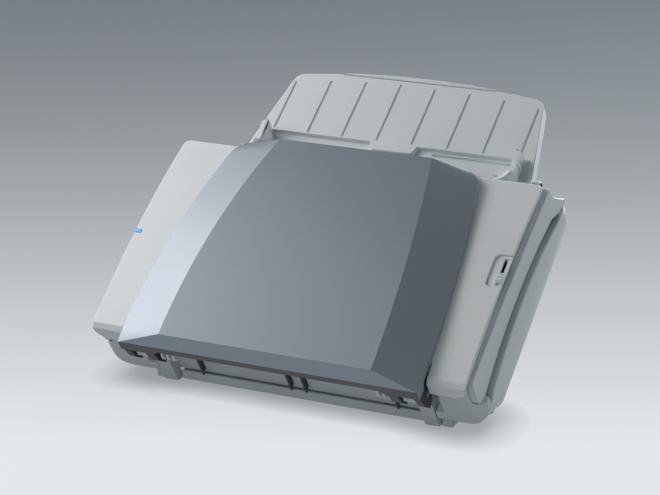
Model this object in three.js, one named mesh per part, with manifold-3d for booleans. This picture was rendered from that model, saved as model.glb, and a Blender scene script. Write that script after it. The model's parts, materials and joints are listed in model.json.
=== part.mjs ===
// Sheet-fed desktop document scanner: front unit, rear body, eject cover, feed tray and paper drive.
// Units are millimetres. X points right, Y to the back, Z up; the origin is the middle of the footprint.
// Most pieces are drawn in the slab frame, which leans back with the panel: x is across, s runs up the
// slope and t points out of the panel. The slab's zero is the lower edge of the front panel.
import * as THREE from 'three';
import { mergeVertices } from 'three/addons/utils/BufferGeometryUtils.js';
import Module from 'manifold-3d';

const wasm = await Module();
wasm.setup();

// Driving sizes
const lean = THREE.MathUtils.degToRad(34.3);
const heel_height = 58;
const seat_gap = 0.3;
const run_gap = 0.5;
const overrun = 8;
const wall = 2.5;
const arc_steps = 6;
const selector_steps = 4;

const panel = {
  half_width: 156, length: 190, arch: 5.6, edge: 3, corner: 5, bevel_reach: 3.8, bevel_drop: 3.3,
  side_inset: 3.5, steps: 10,
};
// How far other pieces stay inside the panel's edge, or stand out beyond it
const inset = {
  ear: 20.5, mouth: 38, guide: 17.5, guide_tail: 39.5, rim: 2, ear_wall: 6, post: 30.4, recess: 37.4, lip: 52.3,
  arm: 32, extension: 86.5, cover: 35.5, cover_crease: 73.4, cover_low: 31.7, shaft_left: 7.5, shaft_right: 16, gear_left: 9.5,
  gear_right: 15.5, chassis_left: 16.5, chassis_right: 19.5, sensor: 44, base: 56, tray: 42.5, fin: 45.5,
  selector: 13.2, slot: 3.5, slit: 5.9, foot: 33.1,
};
const beyond = { strip: 2, rear: 5.5 };
const nose = { depth: 15.4, corner: 12, heel_s: 8, heel_t: -34 };
const top_end = { shoulder_s: 4.4, shoulder_t: -9.3, lip_s: 6.5, lip_t: -22 };
const ear = { inner: panel.half_width - inset.ear, s: 25, knee_s: 21.3, knee_t: -44, low_t: -52, corner: 6 };
const mouth = { half_width: panel.half_width - inset.mouth, throat_s: 166, low_t: -41.5, cheek: 2.5 };
const parting_low_s = 20;
const parting = {
  mid: (panel.length + parting_low_s) / 2, half: (panel.length - parting_low_s) / 2, bow: 9.4,
  strip_level: -31, rear_level: -40.3, ear_s: panel.length - 4, step: 14, rim_gap: 0.6,
};
const strip = {
  gap: 0.3, outer: panel.half_width + beyond.strip, top_mid: 55, top_half: 139, top_level: -4.6, top_bow: 4.7,
  low_s: 4.5, end_s: 24, end_radius: 13, toe_radius: 4,
};
const rear = {
  half_width: panel.half_width + beyond.rear, low_s: 5, high_s: 215, depth: 86, low_corner: 8, high_corner: 15,
  edge_radius: 24, high_t: -58, slope_s: 203, slope_t: -77, back_s: 190, desk_clearance: 10, keel_radius: 18,
  rim: panel.half_width - inset.rim, rim_wall: 2.8, rim_low_s: 24, cavity_low_s: 16.5, upper_cavity_t: -64,
  middle_high_s: 209.3, ear_inner: ear.inner - inset.ear_wall, deck_s: 190,
  post_inner: panel.half_width - inset.post, post_gap: 1,
};
const end_recess = {
  half_width: panel.half_width - inset.recess, s: 14, lip_half_width: panel.half_width - inset.lip, lip_s: 8, lip_t: -68,
  exit_t: -44.5,
};
const pivot = { s: -3.5, t: -17.6, pin_radius: 2.5, pin_drop: 0.5 };
const arm = {
  outer: panel.half_width - inset.arm, plate: 5.4, inner_plate: 7.7, gap: 0.6, back_s: 6, back_t: -24,
  tip_s: -6.6, tip_t: -30, high_t: 8, brow: 2, cheek_s: 4.5, cheek_t: 2.5,
};
const bracket = {
  width: 12, head: 7.5, neck_s: 0.5, neck_t: -26, knee_s: 5, knee_t: -46, back_t: -40, desk_gap: 0.5,
};
const arm_middle_outer = arm.outer - arm.plate;
const bracket_outer = arm_middle_outer - arm.gap;
const bracket_inner = bracket_outer - bracket.width;
const arm_middle_inner = bracket_inner - arm.gap;
const arm_inner = arm_middle_inner - arm.inner_plate;
const notch = { inner_gap: 0.5, outer_gap: 1.2, s: 13 };
const notch_inner = arm_inner - notch.inner_gap;
const notch_outer = arm.outer + notch.outer_gap;
const lug = { thickness: 2.5, pitch: 4.85, inset: 13.2, count: 3, head: 7.5, root_s: 4 };
const lug_inner = arm_inner - lug.inset;
const cover = {
  mid: 90, half: 100, low_s: -17, high_s: 191.5, facet_s: -10.8, corner: 14, wall: 2.5, stations: 11,
  edge_half_width: panel.half_width - inset.cover, edge_taper: 9.8, edge_bow: 5.8, edge_height: 9, edge_arch: 3.3,
  crease_half_width: panel.half_width - inset.cover_crease, crease_taper: 11, crease_bow: 5.5, crease_height: 19.8, crease_arch: 4.9,
  low_edge_half_width: panel.half_width - inset.cover_low, low_edge_t: 4.4, lip_t: -2, lip_s: -5, over_panel: 0.6, fold: 0.2,
  rib_x: 60, rib_thickness: 1.6, rib_low_s: 12, rib_high_s: 186, rib_depth: 12,
};
const liner = { low: 2, thickness: 1.6, low_s: 2, high_s: 187, beyond_crease: 12, rib: 1.2, rib_height: 1, rib_low_s: 14, rib_high_s: 170 };
const rib_places = [-83.5, -6.4, 6.4, 83.5];
const eject_plate = { half_width: 45, low_s: 74, high_s: 190.5, low_t: 9.7, thickness: 1.9, slot_gap: 0.6, grip: 4, grip_half_width: 18 };
const paper = { level: -42, gap: 0.6 };
const lower_guide = {
  half_width: panel.half_width - inset.guide, low_s: 18, wide_s: 186, tail_half_width: panel.half_width - inset.guide_tail,
  high_s: 204, thickness: 2.5, drop: 1,
};
const upper_guide = {
  half_width: panel.half_width - inset.guide, low_s: 17, thickness: 2.2, flange: 2, flange_high_t: -14,
  funnel_s: 193.6, funnel_t: -22.9, funnel_lip: 0.4, ear: 2.4, ear_gap: 0.6, ear_reach: 4,
};
const exit_rib = {
  half_thickness: 0.7, front_s: 10, tip_s: 11.6, tip_t: -66.8, high_t: -44, low_t: -64, bar_s: 17.3, bar_thickness: 2,
  bar_low_t: -62, bar_high_t: -54, slot_gap: 0.3,
};
const roller = {
  shaft_radius: 3, shaft_sides: 12, tyre_sides: 24, hole_gap: 0.45, tyre_half_length: 11, tyre_gap: 0.3,
  right_end: panel.half_width - inset.shaft_right, left_end: inset.shaft_left - panel.half_width,
};
const feed = { s: 150, radius: 10, tyre_x: 20 };
const transport = { s: 95, radius: 10, tyre_x: 62 };
const eject = { s: 33, radius: 9, tyre_x: 48 };
const gear = {
  module: 1, left: inset.gear_left - panel.half_width, right: inset.gear_right - panel.half_width, addendum: 0.9,
  dedendum: 1.2, root_share: 0.6, tip_share: 0.26, idler_bore: 2.6, stub_radius: 2.2,
};
const teeth = { drive: 30, first_idler: 25, second_idler: 32, pinion: 12 };
const chassis = {
  left: inset.chassis_left - panel.half_width, right: panel.half_width - inset.chassis_right, thickness: 1.5, base_lift: 0.3, base_low_s: 46, high_s: 186, low_s: 22,
  side_low_t: -64, side_high_t: -46.5,
};
const motor = { radius: 12, length: 34, drop: 17, shaft_radius: 1.5, boss_radius: 5, boss: 2, sides: 24 };
const sensor = {
  half_width: panel.half_width - inset.sensor, half_s: 8, depth: 13, glass_half_s: 6, glass: 1.4, lower_s: 73, upper_s: 53,
  inset: 0.4,
};
const board = { left: -30, right: 62, low_z: 16, high_z: 62, thickness: 1.6, post: 3, chip: 14, chip_height: 2.5, chip_x: -8 };
const usb = { x: 22, z: 40, width: 12, height: 11, depth: 11, hole_width: 8.4, hole_height: 7.8, hole_depth: 9 };
const inlet = { x: 46, z: 40, width: 11, height: 11, depth: 11, hole_width: 6.4, hole_height: 6.4, hole_depth: 9 };
const tray = {
  level: -42, plate: 2.4, side_height: 13, side_wall: 3, low_s: 219, step_s: 246, step_drop: 4.5,
  tongue_half_width: 18, tongue_s: 238, mid_s: 302, mid_half_width: panel.half_width - inset.tray, taper: 0.18,
  corner_s: 311.4, corner: 9, crown_s: 318.7, crown_inset: 12.5, rim: 4, rim_height: 1.2, steps: 8,
};
const tray_crown_half = tray.mid_half_width - tray.crown_inset;
const groove = { pitch: 31.4, count: 8, half_width: 0.95, depth: 1.4, low_s: 248, crown_low: 301.5, crown_high: 310.5 };
const tray_pivot = { s: 224, t: -47, boss: 5, pin_radius: 2.5, pin_reach: 8, lug_gap: 0.9, lug_root_s: 203 };
const tray_pin_inner = rear.ear_inner - tray_pivot.pin_reach;
const tray_lug_outer = ear.inner - tray_pivot.lug_gap;
const extension = {
  half_width: panel.half_width - inset.extension, low_s: 252, thickness: 1.6, lip_low_s: 314.6, lip_rise: 1.2,
  notch_gap: 1.3, gap: 0.4,
};
const guide = {
  face_x: panel.half_width - inset.fin, thickness: 4.5, low_s: 224.5, tip_rise: 15.2, low_drop: 3.6, corner: 5,
  foot_reach: 18.5, foot_s: 229, foot_length: 9, foot_thickness: 1.6, flare_x: 16, flare_high_s: 243, flare_bend: 1.8,
  flare_steps: 5, slot_depth: 0.8, slot_width: 1.6, slot_pitch: 4.6, slot_low_s: 230, slot_count: 3, slot_lean: 3.5, border: 2,
  travel: 70, rack_thickness: 1.6, rack_width: 4, rack_drop: 0.5, stem: 5, stem_width: 1.8, slit_gap: 0.35,
};
const guide_drive = { s: 233.5, count: 12, bore: 1.6, thickness: 2, post: 1.2, low_x: -6.5, high_x: 78 };
const selector = {
  low_s: 85, high_s: 116, inner_x: panel.half_width - inset.selector, depth: 3.4, corner: 5, plate: 1.6,
  slot_x: panel.half_width - inset.slot, slot_half_width: 2.4, slot_low_s: 87.5, slot_high_s: 113.5, slot_floor: 0.6,
  slit_inner: panel.half_width - inset.slit, slit_outer: panel.half_width - panel.side_inset, slit_low_s: 90,
  knob_half_width: 2.7, knob_length: 7.5, knob_height: 3.6, knob_shift: 0.6, knob_s: 93.2,
  stem_width: 1.3, stem_half_length: 2, web_x: 2, flange_half_length: 5, flange_reach: 8, flange: 1.2,
  ridge: 0.6, ridge_depth: 0.8, ridge_count: 3, gap: 0.4,
};
const lens = { s: 88.2, half_length: 1.6, outer_x: panel.half_width, depth_x: 6, height: 5 };
const pinch = { radius: 7, half_length: 9, axle_radius: 2, hole_gap: 0.4, window: 1 };
const retard = { radius: 9, half_length: 9 };
const base = {
  half_width: panel.half_width - inset.base, front_half_width: panel.half_width - inset.lip, rear_y: 201, plate: 5, wall: 3, foot_height: 1.5, slab_gap: 0.3,
  front_t: -74,
};
const foot = {
  radius: 8, inset_x: 16, inset_y: 14, sides: 24, front_x: panel.half_width - inset.foot, front_half_width: 4.2,
  front_length: 12, front_s: 8, front_t: -74,
};

const finish = (color, roughness, metalness = 0) => new THREE.MeshStandardMaterial({ color, roughness, metalness });
const looks = {
  panel: finish(0xc9ced0, 0.5),
  light: finish(0xb9bfc1, 0.55),
  tray: finish(0xc0c6c9, 0.55),
  dark: finish(0x5f6a72, 0.42),
  black: finish(0x22262a, 0.6),
  white: finish(0xe6e6e2, 0.5),
  rubber: finish(0x3a3b3c, 0.9),
  steel: finish(0xb4b8bb, 0.35, 0.9),
  board: finish(0x2f6b45, 0.6),
  glass: finish(0x9fb0b4, 0.1),
  lens: finish(0x4e9ad0, 0.2),
};

// Turns a closed three.js geometry into a solid that can be cut and joined.
function solid(geometry) {
  const bare = geometry.index ? geometry.toNonIndexed() : geometry.clone();
  bare.deleteAttribute('normal');
  bare.deleteAttribute('uv');
  const merged = mergeVertices(bare, 1e-4);
  return new wasm.Manifold(new wasm.Mesh({
    numProp: 3,
    vertProperties: new Float32Array(merged.attributes.position.array),
    triVerts: new Uint32Array(merged.index.array),
  }));
}

function geometryOf(body) {
  const mesh = body.getMesh();
  const geometry = new THREE.BufferGeometry();
  geometry.setAttribute('position', new THREE.BufferAttribute(new Float32Array(mesh.vertProperties), 3));
  geometry.setIndex(new THREE.BufferAttribute(new Uint32Array(mesh.triVerts), 1));
  geometry.computeVertexNormals();
  return geometry;
}

function piece(group, name, body, material) {
  const mesh = new THREE.Mesh(geometryOf(body), material);
  mesh.name = name;
  group.add(mesh);
}

function union(...bodies) {
  return bodies.reduce((whole, body) => whole.add(body));
}

function cut(body, ...cutters) {
  return cutters.reduce((whole, cutter) => whole.subtract(cutter), body);
}

function box(x, y, z) {
  const geometry = new THREE.BoxGeometry(x[1] - x[0], y[1] - y[0], z[1] - z[0]);
  geometry.translate((x[0] + x[1]) / 2, (y[0] + y[1]) / 2, (z[0] + z[1]) / 2);
  return solid(geometry);
}

const across = new THREE.Vector3(1, 0, 0);
const along = new THREE.Vector3(0, 1, 0);
const outward = new THREE.Vector3(0, 0, 1);

// Outline of (s, t) points carried along x, from low to high.
function prismX(points, low, high) {
  return prism(points, high - low, [along, outward, across], across.clone().multiplyScalar(low));
}

// Outline of (x, t) points carried along s.
function prismS(points, low, high) {
  return prism(points, high - low, [across, outward, along.clone().negate()], along.clone().multiplyScalar(high));
}

// Outline of (x, s) points carried along t.
function prismT(points, low, high) {
  return prism(points, high - low, [across, along, outward], outward.clone().multiplyScalar(low));
}

function prism(points, depth, basis, place) {
  const shape = new THREE.Shape(points.map(([a, b]) => new THREE.Vector2(a, b)));
  const geometry = new THREE.ExtrudeGeometry(shape, { depth, steps: 1, bevelEnabled: false });
  geometry.applyMatrix4(new THREE.Matrix4().makeBasis(...basis));
  geometry.translate(place.x, place.y, place.z);
  return solid(geometry);
}

function disc(a, b, radius, sides) {
  return Array.from({ length: sides }, (_, i) => {
    const angle = (i + 0.5) * 2 * Math.PI / sides;
    return [a + radius * Math.cos(angle), b + radius * Math.sin(angle)];
  });
}

function rod(s, t, radius, low, high, sides = roller.shaft_sides) {
  return prismX(disc(s, t, radius, sides), low, high);
}

// Rounds each corner that carries a radius as its third number.
function rounded(points, steps = arc_steps) {
  return points.flatMap(([a, b, radius = 0], i) => {
    if (!radius) return [[a, b]];
    const corner = new THREE.Vector2(a, b);
    const before = new THREE.Vector2(...points.at(i - 1).slice(0, 2)).sub(corner).normalize();
    const after = new THREE.Vector2(...points[(i + 1) % points.length].slice(0, 2)).sub(corner).normalize();
    const half = Math.acos(before.dot(after)) / 2;
    const centre = before.clone().add(after).normalize().multiplyScalar(radius / Math.sin(half)).add(corner);
    const reach = radius / Math.tan(half);
    const start = before.clone().multiplyScalar(reach).add(corner).sub(centre).angle();
    let sweep = after.clone().multiplyScalar(reach).add(corner).sub(centre).angle() - start;
    if (sweep > Math.PI) sweep -= 2 * Math.PI;
    if (sweep < -Math.PI) sweep += 2 * Math.PI;
    return Array.from({ length: steps + 1 }, (_, k) => {
      const angle = start + sweep * k / steps;
      return [centre.x + radius * Math.cos(angle), centre.y + radius * Math.sin(angle)];
    });
  });
}

function sampled(height, low, high, steps) {
  return Array.from({ length: steps + 1 }, (_, i) => {
    const s = low + (high - low) * i / steps;
    return [s, height(s)];
  });
}

// Skins closed rings of points, all with the same count, into one closed body.
function loft(rings) {
  const count = rings[0].length;
  const position = rings.flat().flat();
  const index = [];
  for (let r = 0; r + 1 < rings.length; r += 1) {
    for (let i = 0; i < count; i += 1) {
      const a = r * count + i;
      const b = r * count + (i + 1) % count;
      index.push(a, b, b + count, a, b + count, a + count);
    }
  }
  const cap = (ring, offset, turned) => {
    const flat = ring.map(([x, , z]) => new THREE.Vector2(x, z));
    THREE.ShapeUtils.triangulateShape(flat, []).forEach(([a, b, c]) => {
      index.push(offset + a, offset + (turned ? c : b), offset + (turned ? b : c));
    });
  };
  cap(rings[0], 0, true);
  cap(rings.at(-1), (rings.length - 1) * count, false);
  const geometry = new THREE.BufferGeometry();
  geometry.setAttribute('position', new THREE.Float32BufferAttribute(position, 3));
  const turned = volumeOf(position, index) < 0;
  geometry.setIndex(turned ? index.toReversed() : index);
  return solid(geometry);
}

function volumeOf(position, index) {
  const at = (i) => new THREE.Vector3(...position.slice(3 * i, 3 * i + 3));
  let sum = 0;
  for (let i = 0; i < index.length; i += 3) {
    sum += at(index[i]).dot(at(index[i + 1]).cross(at(index[i + 2])));
  }
  return sum;
}

const both = (low, high) => [[low, high], [-high, -low]];
const mirrored = (make, low, high) => union(...both(low, high).map(([a, b]) => make(a, b)));
const square = (value) => value * value;

// Curves of the slab, as heights t over s
const archAt = (s) => panel.arch * (1 - square(2 * s / panel.length - 1));
const bowed = (level, bow, mid, half) => (s) => level - bow * square((s - mid) / half);
const stripLow = bowed(parting.strip_level, parting.bow, parting.mid, parting.half);
const rearHigh = bowed(parting.rear_level, parting.bow, parting.mid, parting.half);
const stripHigh = bowed(strip.top_level, strip.top_bow, strip.top_mid, strip.top_half);
const deskT = (s, height) => (height - heel_height - s * Math.sin(lean)) / Math.cos(lean);
const deskS = (t, height) => (height - heel_height - t * Math.cos(lean)) / Math.sin(lean);
const shoulder_s = panel.length + top_end.shoulder_s;
const lip_s = panel.length + top_end.lip_s;
const ear_s = panel.length + ear.s;
const core_half_width = panel.half_width - panel.side_inset;
const strip_inner = core_half_width + strip.gap;

// The far end of the front unit's side, from the panel's top edge round the ear to the parting line.
const earOutline = (inset) => [
  [shoulder_s - inset, top_end.shoulder_t],
  [lip_s - inset, top_end.lip_t],
  [panel.length + ear.knee_s - inset, ear.knee_t, ear.corner],
  [ear_s - inset, ear.low_t],
  [ear_s - inset, rearHigh(ear_s) + parting.rim_gap],
  [parting.ear_s + parting.step, rearHigh(parting.ear_s + parting.step) + parting.rim_gap],
];

const muzzlePlan = rounded([
  [-panel.half_width, overrun], [-panel.half_width, -nose.depth, nose.corner],
  [panel.half_width, -nose.depth, nose.corner], [panel.half_width, overrun],
]);

function makeFrontCover() {
  const half = core_half_width;
  const arch = sampled(archAt, 0, panel.length, panel.steps);
  const low = sampled(stripLow, parting.ear_s, strip.end_s, panel.steps);
  const toe = [[nose.heel_s, nose.heel_t], [-panel.bevel_reach, -nose.depth], [-panel.bevel_reach, -panel.bevel_drop]];
  const core = prismX([...arch, ...rounded(earOutline(0)), ...low, ...toe], -half, half);
  const plan = rounded([
    [-panel.half_width, 0], [panel.half_width, 0], [panel.half_width, panel.length, panel.corner],
    [-panel.half_width, panel.length, panel.corner],
  ]);
  const skin = prismX([...arch, ...sampled((s) => archAt(s) - panel.edge, panel.length, 0, panel.steps)],
    -panel.half_width, panel.half_width).intersect(prismT(plan, -overrun, overrun * 2));
  const muzzle = prismX([[0, 0], ...toe.slice(1).reverse(), [0, -nose.depth]], -panel.half_width, panel.half_width)
    .intersect(prismS(muzzlePlan, -overrun * 2, overrun));
  const cavity_top = sampled((s) => archAt(s) - wall, 0, panel.length - wall, panel.steps);
  const cavity = prismX([
    ...cavity_top, [shoulder_s - wall, top_end.shoulder_t], [lip_s - wall, top_end.lip_t],
    [lip_s - wall, -rear.depth], [nose.heel_s + 2 * wall, -rear.depth], [nose.heel_s + wall, nose.heel_t],
    [wall - panel.bevel_reach, -nose.depth], [wall - panel.bevel_reach, -panel.bevel_drop - wall],
  ], wall - half, half - wall);
  const ear_cavity = prismX([
    [lip_s, ear.knee_t], [panel.length + ear.knee_s - wall, ear.knee_t], [ear_s - wall, ear.low_t],
    [ear_s - wall, -rear.depth], [lip_s, -rear.depth],
  ], ear.inner + wall, half - wall);
  const ear_gap = box([-ear.inner, ear.inner], [lip_s, ear_s + overrun], [-rear.depth, top_end.lip_t + overrun]);
  const mouth_cut = prismX([
    [mouth.throat_s, -rear.depth], [mouth.throat_s, mouth.low_t], [lip_s, top_end.lip_t],
    [lip_s + overrun, top_end.lip_t], [lip_s + overrun, -rear.depth],
  ], -mouth.half_width, mouth.half_width);
  const notchBox = (grow) => mirrored(
    (a, b) => box([a, b], [-overrun * 2, notch.s + grow], [-rear.depth, overrun * 2]),
    notch_inner - grow, notch_outer + grow,
  );
  const fin = (x) => mirrored((a, b) => union(
    rod(pivot.s, pivot.t, lug.head, a, b),
    box([a, b], [pivot.s, lug.root_s], [pivot.t, -panel.bevel_drop - wall]),
  ), x, x + lug.thickness);
  const fins = union(...Array.from({ length: lug.count }, (_, i) => fin(lug_inner + i * lug.pitch)));
  const cheeks = mirrored((a, b) => prismX([
    [mouth.throat_s, mouth.low_t + upper_guide.thickness + wall], [mouth.throat_s, top_end.lip_t + overrun],
    [lip_s - wall / 2, top_end.lip_t + overrun], [lip_s - wall / 2, mouth.low_t + upper_guide.thickness + wall],
  ], a, b), mouth.half_width, mouth.half_width + mouth.cheek);
  const ears = cut(cavity, box([-half, half], [lip_s, ear_s], [-rear.depth, 0]));
  const pad = box([selector.inner_x - wall, panel.half_width], [selector.low_s - wall, selector.high_s + wall], [pad_t, overrun * 2]);
  const outside = (x, high_s, high_t) => mirrored(
    (a, b) => box([a, b], [-overrun * 2, high_s], [-rear.depth, high_t]), x, panel.half_width + overrun,
  );
  const shelf_s = rear.cavity_low_s + rear.post_gap;
  const shelf = outside(rear.post_inner - rear.post_gap - wall, shelf_s + wall, wall - nose.depth);
  const room = outside(rear.post_inner - rear.post_gap, shelf_s, -nose.depth);
  const chin = outside(rear.post_inner - rear.post_gap, rear.low_s, overrun)
    .subtract(prismS(muzzlePlan, -overrun * 4, rear.low_s + overrun));
  const hollow = cut(ears, notchBox(wall), pad, shelf);
  let body = union(core, skin, muzzle);
  body = cut(body, ear_gap, hollow, ear_cavity, ear_cavity.mirror([1, 0, 0]), room, chin);
  body = cut(union(body, cheeks), mouth_cut, notchBox(0));
  body = cut(union(body, fins), rod(pivot.s, pivot.t, pivot.pin_radius + run_gap, -notch_outer, notch_outer));
  return cut(body, selectorRecess(), lensHole());
}

const pad_t = archAt((selector.low_s + selector.high_s) / 2) - selector.depth - wall;

function selectorRecess() {
  const plan = rounded([
    [selector.inner_x, selector.low_s, selector.corner], [panel.half_width + overrun, selector.low_s],
    [panel.half_width + overrun, selector.high_s], [selector.inner_x, selector.high_s, selector.corner],
  ]);
  const floor = prismX([
    ...sampled((s) => archAt(s) - selector.depth, selector.low_s - 1, selector.high_s + 1, selector_steps),
    [selector.high_s + 1, overrun * 2], [selector.low_s - 1, overrun * 2],
  ], selector.inner_x - 1, panel.half_width + overrun);
  const room = box([selector.slit_inner - selector.web_x, selector.slit_outer],
    [selector.slit_low_s, selector.slot_high_s], [-overrun, overrun * 2]);
  return union(floor.intersect(prismT(plan, -overrun, overrun * 2)), room);
}

function lensHole() {
  return box([-lens.outer_x - overrun, lens.depth_x - lens.outer_x], [lens.s - lens.half_length, lens.s + lens.half_length],
    [archAt(lens.s) - lens.height, overrun * 2]);
}

function makeStrip() {
  const high = sampled(stripHigh, strip.low_s + strip.toe_radius, shoulder_s, panel.steps);
  const low = sampled(stripLow, parting.ear_s, strip.end_s, panel.steps);
  const toe = rounded([
    [strip.end_s, stripLow(strip.end_s)], [strip.low_s, stripLow(strip.end_s), strip.end_radius],
    [strip.low_s, stripHigh(strip.low_s), strip.toe_radius], high[0],
  ]).slice(1, -1);
  return prismX([...high, ...rounded(earOutline(0)).slice(1), ...low, ...toe], strip_inner, strip.outer);
}

function rearPlan(inset, low, high) {
  const half = rear.half_width - inset;
  return rounded([
    [-half, low, rear.low_corner - inset], [half, low, rear.low_corner - inset],
    [half, high, rear.high_corner - inset], [-half, high, rear.high_corner - inset],
  ]);
}

function rearSide(inset, high) {
  const floor = rear.desk_clearance + inset;
  return [
    ...high,
    [rear.high_s - inset, rear.high_t - 2 * inset], [rear.slope_s - inset, rear.slope_t + inset / 2],
    [rear.back_s - inset / 2, inset - rear.depth], [deskS(inset - rear.depth, floor), inset - rear.depth],
    [rear.low_s, deskT(rear.low_s, floor)],
  ];
}

const rearSection = (inset) => rounded([
  [inset - rear.half_width, overrun], [inset - rear.half_width, inset - rear.depth, rear.edge_radius - inset],
  [rear.half_width - inset, inset - rear.depth, rear.edge_radius - inset], [rear.half_width - inset, overrun],
]);

function makeRearShell() {
  const span = [-rear.half_width, rear.half_width];
  const section = (inset) => prismS(rearSection(inset), -overrun, rear.high_s + overrun);
  const high = sampled(rearHigh, rear.low_s, rear.high_s, panel.steps);
  const plan = prismT(rearPlan(0, rear.low_s, rear.high_s), -rear.depth - overrun, overrun);
  const keel = rear.desk_clearance - heel_height;
  const above_desk = prismS(rounded([
    [-rear.half_width, rear.depth * 2], [-rear.half_width, keel, rear.keel_radius],
    [rear.half_width, keel, rear.keel_radius], [rear.half_width, rear.depth * 2],
  ]), -rear.high_s, rear.high_s * 2).rotate([-THREE.MathUtils.radToDeg(lean), 0, 0]);
  const tub = prismX(rearSide(0, high), ...span).intersect(section(0)).intersect(plan).intersect(above_desk);
  const rim_top = sampled((s) => stripLow(s) - parting.rim_gap, rear.rim_low_s, parting.ear_s - parting.rim_gap, panel.steps);
  const rim = prismX([...rim_top, [parting.ear_s, rear.upper_cavity_t], [rear.rim_low_s, rear.upper_cavity_t - overrun]],
    -rear.rim, rear.rim);
  const inner_half = rear.rim - rear.rim_wall;
  const middle_high = rear.middle_high_s - wall;
  const upper_cavity = union(
    box([-inner_half, inner_half], [rear.cavity_low_s, rear.deck_s], [rear.upper_cavity_t, overrun]),
    box([-mouth.half_width, mouth.half_width], [rear.cavity_low_s, middle_high], [rear.upper_cavity_t, overrun]),
  );
  const ceiling = sampled((s) => rearHigh(s) - wall, rear.cavity_low_s, rear.high_s - wall, panel.steps);
  const ear_wall = box([-rear.ear_inner - wall, rear.ear_inner + wall], [middle_high, rear.high_s + overrun], [-rear.depth - overrun, overrun]);
  const deep = prismX(rearSide(wall, ceiling), ...span).intersect(section(wall)).subtract(ear_wall)
    .intersect(prismT(rearPlan(wall, rear.cavity_low_s, rear.high_s - wall), -rear.depth - overrun, overrun));
  const middle = box([-rear.ear_inner, rear.ear_inner], [rear.middle_high_s, rear.high_s + overrun], [-rear.depth - overrun, overrun]);
  const recess = box([-end_recess.half_width, end_recess.half_width], [-overrun, end_recess.s], [end_recess.lip_t, overrun]);
  const under_lip = union(
    box([-end_recess.half_width, end_recess.half_width], [-overrun, end_recess.lip_s], [-rear.depth, overrun]),
    mirrored((a, b) => box([a, b], [-overrun, end_recess.s], [-rear.depth, overrun]), end_recess.lip_half_width, end_recess.half_width),
  );
  const root_t = rearHigh(rear.low_s) - wall;
  const front_wall = box([-rear.post_inner, rear.post_inner], [end_recess.s, rear.cavity_low_s], [root_t, end_recess.exit_t]);
  const post_top = -nose.depth - parting.rim_gap;
  const posts = mirrored((a, b) => box([a, b], [rear.low_s, rear.cavity_low_s], [root_t, post_top]),
    rear.post_inner, rear.half_width).intersect(plan).intersect(above_desk);
  const toe_low = [strip.low_s - parting.rim_gap, stripLow(strip.end_s) - parting.rim_gap, strip.end_radius + parting.rim_gap];
  const toe_end_s = rear.rim_low_s + overrun;
  const strip_toe = mirrored((a, b) => prismX(rounded([
    [toe_low[0], overrun], toe_low, [strip.end_s, toe_low[1]], [toe_end_s, stripLow(toe_end_s) - parting.rim_gap], [toe_end_s, overrun],
  ]), a, b), strip_inner - parting.rim_gap, rear.half_width + overrun);
  const lugs = mirrored((a, b) => union(
    rod(tray_pivot.s, tray_pivot.t, tray_pivot.boss, a, b),
    prismX([
      [tray_pivot.s, tray_pivot.t - tray_pivot.boss], [tray_pivot.s, tray_pivot.t + tray_pivot.boss],
      [tray_pivot.lug_root_s, rearHigh(rear.high_s)], [tray_pivot.lug_root_s, rear.high_t - tray_pivot.boss],
    ], a, b),
  ), rear.ear_inner, tray_lug_outer);
  let body = cut(union(tub, rim, posts, front_wall), upper_cavity, deep, middle);
  body = cut(union(cut(body, strip_toe), lugs), recess, under_lip, rod(tray_pivot.s, tray_pivot.t, tray_pivot.pin_radius + seat_gap,
    -rear.half_width, rear.half_width));
  const slots = union(...rib_places.map((x) => box(
    [x - exit_rib.half_thickness - exit_rib.slot_gap, x + exit_rib.half_thickness + exit_rib.slot_gap],
    [-overrun, exit_rib.bar_s + overrun], [exit_rib.low_t - exit_rib.slot_gap, exit_rib.high_t + exit_rib.slot_gap],
  )));
  return cut(body, slots);
}

function makeExitGuide() {
  const ribs = rib_places.map((x) => prismX([
    [exit_rib.front_s, exit_rib.high_t], [exit_rib.front_s, exit_rib.tip_t], [exit_rib.tip_s, exit_rib.tip_t],
    [exit_rib.tip_s, exit_rib.low_t], [exit_rib.bar_s, exit_rib.low_t], [exit_rib.bar_s, exit_rib.high_t],
  ], x - exit_rib.half_thickness, x + exit_rib.half_thickness));
  const half = Math.max(...rib_places) + exit_rib.half_thickness;
  const bar = box([-half, half], [exit_rib.bar_s - overrun / 20, exit_rib.bar_s + exit_rib.bar_thickness], [exit_rib.bar_low_t, exit_rib.bar_high_t]);
  return union(bar, ...ribs);
}

function makeBracket() {
  const back = end_recess.s - seat_gap;
  const foot_t = deskT(bracket.knee_s, bracket.desk_gap);
  const web = prismX([
    [bracket.neck_s, bracket.neck_t], [pivot.s + bracket.head, pivot.t], [back, bracket.back_t],
    [back, deskT(back, bracket.desk_gap)], [bracket.knee_s, foot_t], [bracket.knee_s, bracket.knee_t],
  ], bracket_inner, bracket_outer);
  return cut(union(rod(pivot.s, pivot.t, bracket.head, bracket_inner, bracket_outer), web),
    rod(pivot.s, pivot.t, pivot.pin_radius + seat_gap, bracket_inner - overrun, bracket_outer + overrun));
}

// Eject cover: an arched shell with a flat middle between two creases and a sloping facet on each side.
const coverShare = (s) => (s - cover.mid) / cover.half;
const edgeX = (s) => cover.edge_half_width - cover.edge_taper * coverShare(s) - cover.edge_bow * square(coverShare(s));
const edgeT = (s) => cover.edge_height - cover.edge_arch * square(coverShare(s));
const creaseX = (s) => cover.crease_half_width - cover.crease_taper * coverShare(s) - cover.crease_bow * square(coverShare(s));
const creaseT = (s) => cover.crease_height - cover.crease_arch * square(coverShare(s));

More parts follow.
